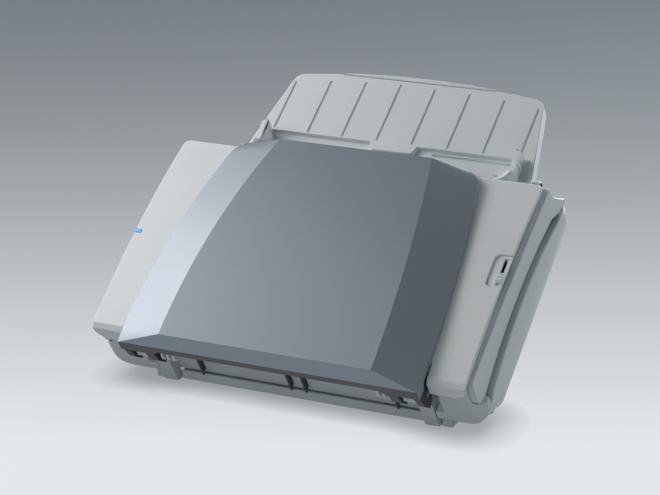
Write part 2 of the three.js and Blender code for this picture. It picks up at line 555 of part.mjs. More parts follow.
function coverRing(s, inset, floor) {
  const low = s < cover.facet_s;
  const edge_x = (low ? cover.low_edge_half_width : edgeX(s)) - inset;
  const edge_t = (low ? cover.low_edge_t : edgeT(s)) - inset;
  const crease_x = low ? edge_x - cover.fold : creaseX(s) - inset / 4;
  const crease_t = low ? edge_t + cover.fold / 4 : creaseT(s) - inset;
  return [
    [-edge_x, s, floor], [edge_x, s, floor], [edge_x, s, edge_t], [crease_x, s, crease_t],
    [-crease_x, s, crease_t], [-edge_x, s, edge_t],
  ];
}

function coverBlock(inset, floor, low, high) {
  const stations = sampled(() => 0, cover.facet_s + inset / 2, high, cover.stations).map(([s]) => s);
  return loft([low, ...stations].map((s) => coverRing(s, inset, floor)));
}

function coverPlan(inset) {
  const sides = sampled(edgeX, cover.high_s - 2 * cover.corner, cover.high_s, 1);
  const wide = cover.low_edge_half_width + overrun;
  return rounded([
    [-wide, cover.low_s - overrun], [wide, cover.low_s - overrun], [wide, sides[0][0]], [sides[0][1] + 1 - inset, sides[0][0]],
    [sides[1][1] + 1 - inset, cover.high_s - inset, cover.corner - inset],
    [inset - 1 - sides[1][1], cover.high_s - inset, cover.corner - inset], [inset - 1 - sides[0][1], sides[0][0]], [-wide, sides[0][0]],
  ]);
}

function makeCoverShell() {
  const deep = -overrun * 2;
  const outer = coverBlock(0, deep, cover.low_s, cover.high_s).intersect(prismT(coverPlan(0), deep - 1, overrun * 4));
  const inner = coverBlock(cover.wall, deep - 1, cover.low_s + cover.wall, cover.high_s - cover.wall)
    .intersect(prismT(coverPlan(cover.wall), deep - 2, overrun * 4));
  const under = prismX([
    ...sampled((s) => archAt(s) + cover.over_panel, 0, panel.length, panel.steps),
    [cover.high_s + overrun, cover.over_panel], [cover.high_s + overrun, deep * 2], [cover.lip_s, deep * 2], [cover.lip_s, cover.over_panel],
  ], -panel.half_width, panel.half_width);
  const below_lip = box([-panel.half_width, panel.half_width], [cover.low_s - overrun, cover.lip_s + overrun], [deep * 2, cover.lip_t]);
  const rib = (a, b) => prismX([
    ...sampled((s) => archAt(s) + liner.low + liner.thickness + seat_gap, cover.rib_low_s, cover.rib_high_s, panel.steps),
    ...sampled((s) => creaseT(s) - cover.wall / 2, cover.rib_high_s, cover.rib_low_s, panel.steps),
  ], a, b);
  const ribs = mirrored(rib, cover.rib_x, cover.rib_x + cover.rib_thickness);
  const slot = box(
    [-eject_plate.half_width - eject_plate.slot_gap, eject_plate.half_width + eject_plate.slot_gap],
    [cover.high_s - 2 * cover.wall, cover.high_s + overrun],
    [eject_plate.low_t - eject_plate.slot_gap, eject_plate.low_t + eject_plate.thickness + eject_plate.slot_gap],
  );
  const shell = cut(cut(outer, inner), under, below_lip, slot);
  const brow_s = cover.low_s + cover.wall / 4;
  const profile = [
    [brow_s, arm.high_t], [brow_s, cover.low_edge_t - 2 * cover.wall], [cover.low_s + arm.brow, pivot.t / 2],
    [cover.low_s + arm.cheek_s, pivot.t - arm.cheek_t], [arm.tip_s, arm.tip_t],
    [pivot.s + arm.back_s / 2, arm.back_t - arm.brow], [arm.back_s, arm.back_t / 2 - arm.brow], [arm.back_s, arm.high_t],
  ];
  const envelope = union(coverBlock(cover.wall / 2, deep - 1, cover.low_s + cover.wall / 4, cover.high_s - cover.wall),
    box([-panel.half_width, panel.half_width], [cover.low_s, overrun], [deep * 3, 0]));
  const arms = union(
    mirrored((a, b) => prismX(profile, a, b), arm_inner, arm_middle_inner),
    mirrored((a, b) => prismX(profile, a, b), arm_middle_outer, arm.outer),
  ).intersect(envelope);
  return cut(union(shell, ribs, arms), rod(pivot.s, pivot.t, pivot.pin_radius + run_gap, -panel.half_width, panel.half_width));
}

function makeCoverLiner() {
  const level = (lift) => (s) => archAt(s) + liner.low + lift;
  const plate = prismX([
    ...sampled(level(0), liner.low_s, liner.high_s, panel.steps),
    ...sampled(level(liner.thickness), liner.high_s, liner.low_s, panel.steps),
  ], -panel.half_width, panel.half_width);
  const side = (s) => creaseX(s) + liner.beyond_crease;
  const edge = sampled(side, liner.low_s - 1, liner.high_s + 1, panel.steps);
  const plan = [...edge.map(([s, x]) => [x, s]), ...edge.toReversed().map(([s, x]) => [-x, s])];
  const ribs = rib_places.map((x) => prismX([
    ...sampled(level(-liner.rib_height), liner.rib_low_s, liner.rib_high_s, panel.steps),
    ...sampled(level(liner.thickness / 2), liner.rib_high_s, liner.rib_low_s, panel.steps),
  ], x - liner.rib / 2, x + liner.rib / 2));
  const corners = mirrored((a, b) => box([a, b], [-overrun, notch.s + seat_gap], [-overrun, overrun * 3]), notch_inner - seat_gap, panel.half_width);
  return cut(union(plate.intersect(prismT(plan, -overrun, overrun * 3)), ...ribs), corners);
}

function makeEjectExtension() {
  const plate = box([-eject_plate.half_width, eject_plate.half_width], [eject_plate.low_s, eject_plate.high_s],
    [eject_plate.low_t, eject_plate.low_t + eject_plate.thickness]);
  const finger = prismT(disc(0, eject_plate.high_s, eject_plate.grip, arc_steps * 2), eject_plate.low_t - 1, eject_plate.low_t + overrun);
  return cut(plate, finger);
}

// Paper guides with their windows for tyres and sensor glass
function windowFor(place, level, half_length) {
  return mirrored((a, b) => box([a, b], [place.s - place.radius, place.s + place.radius], [level - overrun, level + overrun]),
    place.tyre_x - half_length - 1, place.tyre_x + half_length + 1);
}

function makeLowerGuide() {
  const top = paper.level - lower_guide.drop;
  const level = [top - lower_guide.thickness, top];
  const plate = union(
    box([-lower_guide.half_width, lower_guide.half_width], [lower_guide.low_s, lower_guide.wide_s], level),
    box([-lower_guide.tail_half_width, lower_guide.tail_half_width], [lower_guide.wide_s - overrun, lower_guide.high_s], level),
  );
  const windows = [feed, transport, eject].map((place) => windowFor(place, top, roller.tyre_half_length));
  const sensor_window = box([-sensor.half_width - seat_gap, sensor.half_width + seat_gap],
    [sensor.lower_s - sensor.half_s - seat_gap, sensor.lower_s + sensor.half_s + seat_gap], [top - overrun, top + overrun]);
  return cut(plate, ...windows, sensor_window);
}

function makeUpperGuide() {
  const low = mouth.low_t;
  const high = low + upper_guide.thickness;
  const plate = box([-upper_guide.half_width, upper_guide.half_width], [upper_guide.low_s, mouth.throat_s], [low, high]);
  const flanges = mirrored((a, b) => box([a, b], [upper_guide.low_s + overrun, mouth.throat_s - overrun], [low, upper_guide.flange_high_t]),
    upper_guide.half_width - upper_guide.flange, upper_guide.half_width);
  const inner = mouth.half_width - seat_gap;
  const funnel = prismX([
    [mouth.throat_s - wall, low], [mouth.throat_s, low], [upper_guide.funnel_s, upper_guide.funnel_t],
    [upper_guide.funnel_s - wall, upper_guide.funnel_t + upper_guide.funnel_lip], [mouth.throat_s - wall, high],
  ], -inner, inner);
  const idlers = [[transport, pinch], [eject, pinch], [feed, retard]];
  const windows = idlers.map(([place, wheel]) => mirrored(
    (a, b) => box([a, b], [place.s - wheel.radius, place.s + wheel.radius], [low - overrun, high + overrun]),
    place.tyre_x - wheel.half_length - pinch.window, place.tyre_x + wheel.half_length + pinch.window,
  ));
  const sensor_window = box([-sensor.half_width - seat_gap, sensor.half_width + seat_gap],
    [sensor.upper_s - sensor.half_s - seat_gap, sensor.upper_s + sensor.half_s + seat_gap], [low - overrun, high + overrun]);
  const ears = idlers.map(([place, wheel]) => {
    const x = place.tyre_x + wheel.half_length + pinch.window + upper_guide.ear_gap;
    const t = idlerLevel(wheel);
    return mirrored((a, b) => cut(
      box([a, b], [place.s - upper_guide.ear_reach, place.s + upper_guide.ear_reach], [low + 1, t + upper_guide.ear_reach]),
      rod(place.s, t, pinch.axle_radius + pinch.hole_gap, a - 1, b + 1),
    ), x, x + upper_guide.ear);
  });
  return union(cut(union(plate, flanges, funnel), ...windows, sensor_window), ...ears);
}

function makeSensor(s, face, side) {
  const deep = side * sensor.depth;
  const faces = [face - side * sensor.inset, face - side * sensor.inset - deep].sort((a, b) => a - b);
  const bar = box([-sensor.half_width, sensor.half_width], [s - sensor.half_s, s + sensor.half_s], faces);
  const seat = box([-sensor.half_width - 1, sensor.half_width + 1], [s - sensor.glass_half_s - seat_gap, s + sensor.glass_half_s + seat_gap],
    [face + side * overrun, face - side * (sensor.glass + seat_gap)].sort((a, b) => a - b));
  return cut(bar, seat);
}

function makeGlass(s, face, side) {
  return box([-sensor.half_width, sensor.half_width], [s - sensor.glass_half_s, s + sensor.glass_half_s],
    [face, face - side * sensor.glass].sort((a, b) => a - b));
}

// Drive: three rollers on one level, with idler gears between them and the motor below.
const axis_t = paper.level - feed.radius;
const pitchRadius = (count) => gear.module * count / 2;

function gearOutline(s, t, count, phase) {
  const pitch = pitchRadius(count);
  const tip = pitch + gear.addendum * gear.module;
  const root = pitch - gear.dedendum * gear.module;
  const step = 2 * Math.PI / count;
  return Array.from({ length: count }, (_, i) => phase + i * step).flatMap((middle) => [
    [root, -gear.root_share / 2], [tip, -gear.tip_share / 2], [tip, gear.tip_share / 2], [root, gear.root_share / 2],
  ].map(([radius, share]) => [s + radius * Math.cos(middle + share * step), t + radius * Math.sin(middle + share * step)]));
}

// Phase of a gear so that a gap meets the tooth of the gear that drives it.
function meshedPhase(driver, s, t, count) {
  const direction = Math.atan2(t - driver.t, s - driver.s);
  const turn = (direction - driver.phase) * driver.count / (2 * Math.PI);
  return direction + Math.PI - (0.5 - turn) * 2 * Math.PI / count;
}

const transport_gear = { s: transport.s, t: axis_t, count: teeth.drive, phase: 0 };
const meshed = (driver, s, t, count) => ({ s, t, count, phase: meshedPhase(driver, s, t, count) });
const first_idler_s = transport.s + pitchRadius(teeth.drive) + pitchRadius(teeth.first_idler);
const second_idler_s = transport.s - pitchRadius(teeth.drive) - pitchRadius(teeth.second_idler);
const first_idler = meshed(transport_gear, first_idler_s, axis_t, teeth.first_idler);
const feed_s = first_idler_s + pitchRadius(teeth.drive) + pitchRadius(teeth.first_idler);
const feed_gear = meshed(first_idler, feed_s, axis_t, teeth.drive);
const second_idler = meshed(transport_gear, second_idler_s, axis_t, teeth.second_idler);
const eject_s = second_idler_s - pitchRadius(teeth.drive) - pitchRadius(teeth.second_idler);
const eject_gear = meshed(second_idler, eject_s, axis_t, teeth.drive);
const pinion_reach = pitchRadius(teeth.drive) + pitchRadius(teeth.pinion);
const pinion = meshed(transport_gear, transport.s + Math.sqrt(square(pinion_reach) - square(motor.drop)), axis_t - motor.drop, teeth.pinion);
feed.s = feed_s;
eject.s = eject_s;

function makeGear(wheel, bore) {
  return cut(prismX(gearOutline(wheel.s, wheel.t, wheel.count, wheel.phase), gear.left, gear.right),
    rod(wheel.s, wheel.t, bore, gear.left - overrun, gear.right + overrun));
}

const makeShaft = (s, t) => rod(s, t, roller.shaft_radius, roller.left_end, roller.right_end);

function makeTyre(place, t, side, half_length) {
  const x = side * place.tyre_x;
  return cut(rod(place.s, t, place.radius - paper.gap / 2, x - half_length, x + half_length, roller.tyre_sides),
    rod(place.s, t, roller.shaft_radius + roller.tyre_gap, -rear.half_width, rear.half_width));
}

function makeChassis() {
  const floor = wall + chassis.base_lift - rear.depth;
  const plate = box([chassis.left, chassis.right], [chassis.base_low_s, chassis.high_s], [floor, floor + chassis.thickness]);
  const side = (a) => prismX([
    [chassis.base_low_s, floor], [chassis.high_s, floor], [chassis.high_s, chassis.side_high_t],
    [chassis.low_s, chassis.side_high_t], [chassis.low_s, chassis.side_low_t], [chassis.base_low_s, chassis.side_low_t],
  ], a, a + chassis.thickness);
  const stub = (wheel) => rod(wheel.s, wheel.t, gear.stub_radius, gear.left, chassis.left + chassis.thickness / 2);
  const sides = union(side(chassis.left), side(chassis.right - chassis.thickness));
  const holes = [feed.s, transport.s, eject.s].map((s) => rod(s, axis_t, roller.shaft_radius + roller.hole_gap, -rear.half_width, rear.half_width));
  const motor_hole = rod(pinion.s, pinion.t, motor.boss_radius + run_gap, chassis.left - 1, 0, motor.sides);
  return union(cut(union(plate, sides), ...holes, motor_hole), stub(first_idler), stub(second_idler));
}

function makeMotor() {
  const left = chassis.left + chassis.thickness + seat_gap;
  return union(
    rod(pinion.s, pinion.t, motor.radius, left, left + motor.length, motor.sides),
    rod(pinion.s, pinion.t, motor.boss_radius, left - chassis.thickness, left + 1, motor.sides),
  );
}

function makePinion() {
  return union(
    prismX(gearOutline(pinion.s, pinion.t, pinion.count, pinion.phase), gear.left, gear.right),
    rod(pinion.s, pinion.t, motor.shaft_radius, gear.right - seat_gap, chassis.left + seat_gap),
  );
}

// Pinch and retard rollers of the front unit: two wheels on one axle, held by ears of the upper guide.
const idlerLevel = (wheel) => paper.level + wheel.radius + paper.gap;

function makeIdler(place, wheel) {
  const t = idlerLevel(wheel);
  const wheels = mirrored((a, b) => rod(place.s, t, wheel.radius, a, b, roller.tyre_sides),
    place.tyre_x - wheel.half_length, place.tyre_x + wheel.half_length);
  const reach = place.tyre_x + wheel.half_length + pinch.window + upper_guide.ear_gap + 2 * upper_guide.ear;
  return union(wheels, rod(place.s, t, pinch.axle_radius, -reach, reach));
}

// Feed tray
const trayHalf = (s) => tray.mid_half_width + tray.taper * (tray.mid_s - s);
const crownS = (x) => tray.crown_s - (tray.crown_s - tray.corner_s) * square(x / tray_crown_half);

function trayPlan(inset) {
  const half_low = trayHalf(tray.low_s) - inset;
  const half_high = trayHalf(tray.corner_s) - inset;
  const crown = sampled((x) => crownS(x) - inset, tray_crown_half, -tray_crown_half, tray.steps);
  return rounded([
    [-half_low, tray.low_s], [half_low, tray.low_s], [half_high, crownS(half_high) - inset, tray.corner], ...crown,
    [-half_high, crownS(half_high) - inset, tray.corner],
  ]);
}

function makeTray() {
  const low = tray.level - tray.side_height;
  const block = prismT(trayPlan(0), low, tray.level);
  const hollow = prismT(trayPlan(tray.side_wall).map(([x, s]) => [x, s === tray.low_s ? s - overrun : s]), low - overrun,
    tray.level - tray.step_drop - tray.plate);
  const main_hollow = prismT(trayPlan(tray.side_wall).map(([x, s]) => [x, s === tray.low_s ? tray.step_s + tray.plate : s]), low - overrun,
    tray.level - tray.plate);
  const inner_low = trayHalf(tray.low_s) - tray.side_wall;
  const inner_step = trayHalf(tray.step_s) - tray.side_wall;
  const step = prismT([
    [-inner_low, tray.low_s - overrun], [inner_low, tray.low_s - overrun], [inner_step, tray.step_s], [-inner_step, tray.step_s],
  ], tray.level - tray.step_drop, tray.level + overrun);
  const tongue = prismT(rounded([
    [-tray.tongue_half_width - 4, tray.step_s + 1], [-tray.tongue_half_width, tray.tongue_s, 4], [tray.tongue_half_width, tray.tongue_s, 4],
    [tray.tongue_half_width + 4, tray.step_s + 1],
  ]), tray.level - tray.step_drop - 1, tray.level);
  const notch_half = extension.half_width + extension.notch_gap;
  const plate_top = tray.level - tray.plate - extension.gap;
  const plate_low = plate_top - extension.thickness;
  const lip_notch = union(
    box([-notch_half, notch_half], [extension.lip_low_s - extension.gap, tray.crown_s + overrun], [plate_low - extension.gap, tray.level + overrun]),
    box([-notch_half, notch_half], [tray.mid_s, tray.crown_s + overrun], [plate_low - extension.gap, plate_top + extension.gap]),
  );
  const first = -(groove.count - 1) / 2 * groove.pitch;
  const grooves = Array.from({ length: groove.count }, (_, i) => {
    const x = first + i * groove.pitch;
    const end = groove.crown_high - (groove.crown_high - groove.crown_low) * square(x / first);
    return box([x - groove.half_width, x + groove.half_width], [groove.low_s, end], [tray.level - groove.depth, tray.level + overrun]);
  });
  const boss = mirrored((a, b) => rod(tray_pivot.s, tray_pivot.t, tray_pivot.boss, a, b), tray_pin_inner + run_gap, rear.ear_inner - run_gap);
  const trim = mirrored((a, b) => box([a, b], [tray.low_s - overrun * 2, tray_pivot.s + overrun], [low - overrun, tray.level + overrun]),
    rear.ear_inner - run_gap, rear.half_width);
  const slit = (side) => {
    const middle = rackMiddle(side);
    const places = [guide.face_x - guide.stem - guide.travel - guide.slit_gap, guide.face_x + guide.slit_gap + guide.border];
    return box(side > 0 ? places : places.map((x) => -x).reverse(),
      [middle - guide.stem_width / 2 - guide.slit_gap, middle + guide.stem_width / 2 + guide.slit_gap],
      [low, tray.level + overrun]);
  };
  const post = prismT(disc(0, guide_drive.s, guide_drive.post, roller.shaft_sides),
    rack_top - guide_drive.thickness - 2 * guide.slit_gap, tray.level - tray.step_drop - 1);
  let body = cut(block, hollow, main_hollow, step, lip_notch);
  body = union(cut(union(body, tongue, boss), trim, ...grooves, slit(1), slit(-1)), post);
  return cut(body, rod(tray_pivot.s, tray_pivot.t, tray_pivot.pin_radius + run_gap, -rear.half_width, rear.half_width));
}

function makeExtension() {
  const high = tray.level - tray.plate - extension.gap;
  const plate = box([-extension.half_width, extension.half_width], [extension.low_s, extension.lip_low_s + 1], [high - extension.thickness, high]);
  const edge = sampled(crownS, -extension.half_width, extension.half_width, tray.steps);
  const lip = prismT([[extension.half_width, extension.lip_low_s], ...edge.toReversed(), [-extension.half_width, extension.lip_low_s]],
    high - extension.thickness, tray.level + extension.lip_rise);
  return union(plate, lip);
}

const rack_top = tray.level - tray.step_drop - tray.plate - guide.rack_drop;
const rack_pitch = Math.PI * gear.module;
const rackLine = (side) => guide_drive.s + side * pitchRadius(guide_drive.count);
const rackMiddle = (side) => rackLine(side) + side * (gear.dedendum * gear.module + guide.rack_width / 2);

// Rack under the tray floor; a tooth stands at x = 0, where the pinion shows a gap.
function makeRack(side) {
  const root = rackLine(side) + side * gear.dedendum * gear.module;
  const tip = rackLine(side) - side * gear.addendum * gear.module;
  const back = root + side * guide.rack_width;
  const high = Math.floor(guide_drive.high_x / rack_pitch);
  const teeth_line = Array.from({ length: high + 3 }, (_, i) => (i - 2) * rack_pitch).flatMap((x) => [
    [x - gear.root_share * rack_pitch / 2, root], [x - gear.tip_share * rack_pitch / 2, tip],
    [x + gear.tip_share * rack_pitch / 2, tip], [x + gear.root_share * rack_pitch / 2, root],
  ]);
  const outline = [...teeth_line, [guide.face_x + guide.border, root], [guide.face_x + guide.border, back], [guide_drive.low_x - 1, back], [guide_drive.low_x - 1, root]];
  return prismT(outline.map(([x, y]) => [side * x, y]), rack_top - guide.rack_thickness, rack_top);
}

function makeGuidePinion() {
  const outline = gearOutline(0, guide_drive.s, guide_drive.count, Math.PI / 2 + Math.PI / guide_drive.count);
  return cut(prismT(outline, rack_top - guide_drive.thickness, rack_top),
    prismT(disc(0, guide_drive.s, guide_drive.bore, roller.shaft_sides), rack_top - overrun, rack_top + overrun));
}

// Inner side of a guide at one place along s: a hollow curve from the tray floor up to the fin.
function flareRing(s, floor) {
  const share = (s - guide.low_s) / (guide.flare_high_s - guide.low_s);
  const reach = guide.flare_x * (1 - share) + guide.border;
  const height = guide.tip_rise - guide.low_drop * (1 - share) - guide.border;
  const curve = Array.from({ length: guide.flare_steps + 1 }, (_, i) => {
    const part = i / guide.flare_steps;
    return [guide.face_x + 1 - reach * (1 - part), s, floor + guide.foot_thickness + height * part ** guide.flare_bend];
  });
  return [[guide.face_x + 1, s, floor], ...curve.reverse(), [guide.face_x + 1 - reach, s, floor]];
}

function makeGuide(side) {
  const floor = tray.level - tray.step_drop + seat_gap;
  const tip = tray.level + guide.tip_rise;
  const outer = guide.face_x + guide.thickness;
  const high_s = tray.step_s - run_gap;
  const fin = prismX(rounded([
    [guide.low_s, floor], [high_s, floor], [high_s, tip, guide.corner], [guide.low_s, tip - guide.low_drop, guide.border],
  ]), guide.face_x, outer);
  const foot = box([guide.face_x - guide.foot_reach, outer], [guide.foot_s, guide.foot_s + guide.foot_length],
    [floor, floor + guide.foot_thickness]);
  const flare = loft(sampled(() => 0, guide.low_s, guide.flare_high_s, guide.flare_steps).map(([s]) => flareRing(s, floor)));
  const slots = Array.from({ length: guide.slot_count }, (_, i) => {
    const low = guide.slot_low_s + i * guide.slot_pitch;
    return prismX([
      [low, floor + guide.border], [low + guide.slot_width, floor + guide.border],
      [low + guide.slot_width - guide.slot_lean, tip - guide.low_drop - guide.border],
      [low - guide.slot_lean, tip - guide.low_drop - guide.border],
    ], outer - guide.slot_depth, outer + overrun);
  });
  const stem = box([guide.face_x - guide.stem, guide.face_x + guide.border],
    [rackMiddle(side) - guide.stem_width / 2, rackMiddle(side) + guide.stem_width / 2],
    [rack_top - guide.rack_thickness, floor + guide.foot_thickness]);
  const upper = union(cut(union(fin, foot, flare), ...slots), stem);
  return union(side > 0 ? upper : upper.mirror([1, 0, 0]), makeRack(side));
}

// Selector and status lens in the front panel
const selectorFloor = (lift) => (s) => archAt(s) - selector.depth + lift;

function makeSelectorPlate() {
  const lift = seat_gap / 2;
  const slice = prismX([
    ...sampled(selectorFloor(lift), selector.low_s, selector.high_s, selector_steps),
    ...sampled(selectorFloor(lift + selector.plate), selector.high_s, selector.low_s, selector_steps),
  ], selector.inner_x, panel.half_width);
  const plan = rounded([
    [selector.inner_x + seat_gap, selector.low_s + seat_gap, selector.corner], [panel.half_width - seat_gap, selector.low_s + seat_gap],
    [panel.half_width - seat_gap, selector.high_s - seat_gap], [selector.inner_x + seat_gap, selector.high_s - seat_gap, selector.corner],
  ]);
  const pocket = prismX([
    ...sampled(selectorFloor(lift + selector.slot_floor), selector.slot_low_s, selector.slot_high_s, selector_steps),
    [selector.slot_high_s, overrun * 2], [selector.slot_low_s, overrun * 2],
  ], selector.slot_x - selector.slot_half_width, selector.slot_x + selector.slot_half_width);
  const slit = box([selector.slit_inner, selector.slit_outer], [selector.slit_low_s, selector.slot_high_s],
    [-overrun, overrun * 2]);
  return cut(slice.intersect(prismT(plan, -overrun, overrun * 2)), pocket, slit);
}

function makeSelectorKnob() {
  const s = selector.knob_s;
  const face = selectorFloor(selector.plate + seat_gap)(s) + selector.gap;
  const x = selector.slot_x + selector.knob_shift;
  const at = (xs, half_s, ts) => box(xs, [s - half_s, s + half_s], ts);
  const cap = at([x - selector.knob_half_width, x + selector.knob_half_width], selector.knob_length / 2,
    [face, face + selector.knob_height]);
  const ridges = Array.from({ length: selector.ridge_count }, (_, i) => {
    const middle = s + (i - (selector.ridge_count - 1) / 2) * selector.knob_length / selector.ridge_count;
    return box([x - overrun, x + overrun], [middle - selector.ridge / 2, middle + selector.ridge / 2],
      [face + selector.knob_height - selector.ridge_depth, face + overrun]);
  });
  const low = pad_t - seat_gap - selector.flange;
  const inner = (selector.slit_inner + selector.slit_outer - selector.stem_width) / 2;
  const web_inner = inner + selector.gap - selector.web_x;
  const stem = at([inner, inner + selector.stem_width], selector.stem_half_length, [low, face + selector.plate]);
  const web = at([web_inner, inner + selector.stem_width], selector.stem_half_length,
    [low, selectorFloor(0)(selector.slot_high_s) - selector.gap]);
  const flange = at([web_inner - selector.flange_reach, core_half_width - wall - run_gap], selector.flange_half_length,
    [low, low + selector.flange]);
  return union(cut(cap, ...ridges), stem, web, flange);
}

function makeLens() {
  return box([seat_gap / 2 - lens.outer_x, lens.depth_x - lens.outer_x - seat_gap],
    [lens.s - lens.half_length + seat_gap / 2, lens.s + lens.half_length - seat_gap / 2],
    [archAt(lens.s) - lens.height + seat_gap, archAt(lens.s) + seat_gap / 2]);
}

// Base stand, drawn upright: a wedge between the desk and the rear body.
const worldY = (s, t) => s * Math.cos(lean) - t * Math.sin(lean);
const worldZ = (s, t) => heel_height + s * Math.sin(lean) + t * Math.cos(lean);

function makeBase() {
  const back_t = -rear.depth - base.slab_gap;
  const low = base.foot_height;
  const deck = low + base.plate;
  const front_y = worldY(deskS(base.front_t, low), base.front_t);
  const slopeZ = (y) => {
    const s = (y + back_t * Math.sin(lean)) / Math.cos(lean);
    return worldZ(s, back_t);
  };
  const meet_y = worldY(deskS(back_t, deck), back_t);
  const wedge = (inset, top, bottom) => [
    [meet_y + inset, bottom], [base.rear_y - inset, bottom], [base.rear_y - inset, slopeZ(base.rear_y - inset) + top], [meet_y + inset, slopeZ(meet_y + inset) + top],
  ];
  const plate = box([-base.front_half_width, base.front_half_width], [front_y, base.rear_y], [low, deck]);
  const hull = prismX(wedge(0, 0, low), -base.half_width, base.half_width);
  const hollow = prismX(wedge(base.wall, overrun, deck), base.wall - base.half_width, base.half_width - base.wall);
  return cut(union(plate, hull), hollow, ...[usb, inlet].map((socket) => socketBox(socket, seat_gap, overrun)));
}

// Sockets reach from the stand's back wall to the board, which stands upright behind it.
const board_y = base.rear_y - seat_gap - usb.depth;

function socketBox(socket, grow, reach = 0) {
  return box([socket.x - socket.width / 2 - grow, socket.x + socket.width / 2 + grow], [board_y + seat_gap, base.rear_y - seat_gap + reach],
    [socket.z - socket.height / 2 - grow, socket.z + socket.height / 2 + grow]);
}

function makeSocket(socket) {
  const face = base.rear_y - seat_gap;
  return cut(socketBox(socket, 0), box([socket.x - socket.hole_width / 2, socket.x + socket.hole_width / 2],
    [face - socket.hole_depth, face + overrun], [socket.z - socket.hole_height / 2, socket.z + socket.hole_height / 2]));
}

function makeBoard() {
  const middle = (board.low_z + board.high_z) / 2;
  const plate = box([board.left, board.right], [board_y - board.thickness, board_y], [board.low_z, board.high_z]);
  const chip = box([board.chip_x - board.chip / 2, board.chip_x + board.chip / 2],
    [board_y - board.thickness - board.chip_height, board_y - board.thickness / 2], [middle - board.chip / 2, middle + board.chip / 2]);
  const legs = [board.left, board.right - 2 * board.post].map((x) => box([x, x + 2 * board.post],
    [board_y - board.thickness, board_y], [base.foot_height + base.plate + seat_gap, board.low_z + 1]));
  return union(plate, chip, ...legs);
}

const scanner = new THREE.Group();
const slab = new THREE.Group();
slab.rotation.x = lean;
slab.position.z = heel_height;
scanner.add(slab);

const twice = (group, name, body, material) => {
  piece(group, `${name}_right`, body, material);
  piece(group, `${name}_left`, body.mirror([1, 0, 0]), material);
};

piece(slab, 'rear_shell', makeRearShell(), looks.light);
piece(scanner, 'base_stand', makeBase(), looks.light);
piece(slab, 'exit_guide', makeExitGuide(), looks.black);
twice(slab, 'hinge_bracket', makeBracket(), looks.light);
twice(slab, 'hinge_pin', rod(pivot.s, pivot.t, pivot.pin_radius, lug_inner - pivot.pin_drop, arm.outer - pivot.pin_drop), looks.steel);
twice(slab, 'tray_pin', rod(tray_pivot.s, tray_pivot.t, tray_pivot.pin_radius, tray_pin_inner, tray_lug_outer), looks.steel);
twice(scanner, 'rear_foot', prismT(disc(base.half_width - foot.inset_x, base.rear_y - foot.inset_y, foot.radius, foot.sides), 0, base.foot_height), looks.rubber);
const front_foot_y = worldY(foot.front_s, foot.front_t);
twice(scanner, 'front_foot', box([foot.front_x - foot.front_half_width, foot.front_x + foot.front_half_width],
  [front_foot_y, front_foot_y + foot.front_length], [0, rear.desk_clearance - seat_gap]), looks.light);
piece(slab, 'chassis', makeChassis(), looks.steel);
piece(slab, 'lower_paper_guide', makeLowerGuide(), looks.black);
piece(slab, 'lower_image_sensor', makeSensor(sensor.lower_s, paper.level - lower_guide.drop, 1), looks.black);
piece(slab, 'lower_sensor_glass', makeGlass(sensor.lower_s, paper.level - lower_guide.drop, 1), looks.glass);
piece(slab, 'drive_motor', makeMotor(), looks.steel);
piece(slab, 'motor_pinion', makePinion(), looks.white);
piece(slab, 'first_idler_gear', makeGear(first_idler, gear.idler_bore), looks.white);
piece(slab, 'second_idler_gear', makeGear(second_idler, gear.idler_bore), looks.white);
for (const [name, place, wheel] of [['feed', feed, feed_gear], ['transport', transport, transport_gear], ['eject', eject, eject_gear]]) {
  piece(slab, `${name}_shaft`, makeShaft(place.s, axis_t), looks.steel);
  piece(slab, `${name}_gear`, makeGear(wheel, roller.shaft_radius + roller.tyre_gap), looks.white);
  piece(slab, `${name}_tyre_right`, makeTyre(place, axis_t, 1, roller.tyre_half_length), looks.rubber);
  piece(slab, `${name}_tyre_left`, makeTyre(place, axis_t, -1, roller.tyre_half_length), looks.rubber);
}
piece(scanner, 'control_board', makeBoard(), looks.board);
piece(scanner, 'usb_socket', makeSocket(usb), looks.steel);
piece(scanner, 'power_inlet', makeSocket(inlet), looks.black);

piece(slab, 'front_cover', makeFrontCover(), looks.panel);
twice(slab, 'side_strip', makeStrip(), looks.light);
piece(slab, 'upper_paper_guide', makeUpperGuide(), looks.black);
piece(slab, 'upper_image_sensor', makeSensor(sensor.upper_s, mouth.low_t, -1), looks.black);
piece(slab, 'upper_sensor_glass', makeGlass(sensor.upper_s, mouth.low_t, -1), looks.glass);
piece(slab, 'retard_roller', makeIdler(feed, retard), looks.rubber);
piece(slab, 'transport_idler', makeIdler(transport, pinch), looks.white);
piece(slab, 'eject_idler', makeIdler(eject, pinch), looks.white);
piece(slab, 'selector_plate', makeSelectorPlate(), looks.panel);
piece(slab, 'selector_knob', makeSelectorKnob(), looks.panel);
piece(slab, 'status_lens', makeLens(), looks.lens);

piece(slab, 'cover_shell', makeCoverShell(), looks.dark);
piece(slab, 'cover_liner', makeCoverLiner(), looks.dark);
piece(slab, 'eject_extension', makeEjectExtension(), looks.dark);

piece(slab, 'tray_shell', makeTray(), looks.tray);
piece(slab, 'feed_extension', makeExtension(), looks.tray);
piece(slab, 'document_guide_right', makeGuide(1), looks.tray);
piece(slab, 'document_guide_left', makeGuide(-1), looks.tray);
piece(slab, 'guide_pinion', makeGuidePinion(), looks.white);

const footprint = new THREE.Box3().setFromObject(scanner, true);
scanner.children.forEach((child) => {
  child.position.y -= (footprint.min.y + footprint.max.y) / 2;
});

export default scanner;
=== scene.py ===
"""Looks of a leaning sheet-fed document scanner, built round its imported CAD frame.

Lengths in the classes are millimetres in the slab frame: x runs across, s up the slope of the
front panel and t out of it. Slab.world turns them into the row frame in metres.
"""

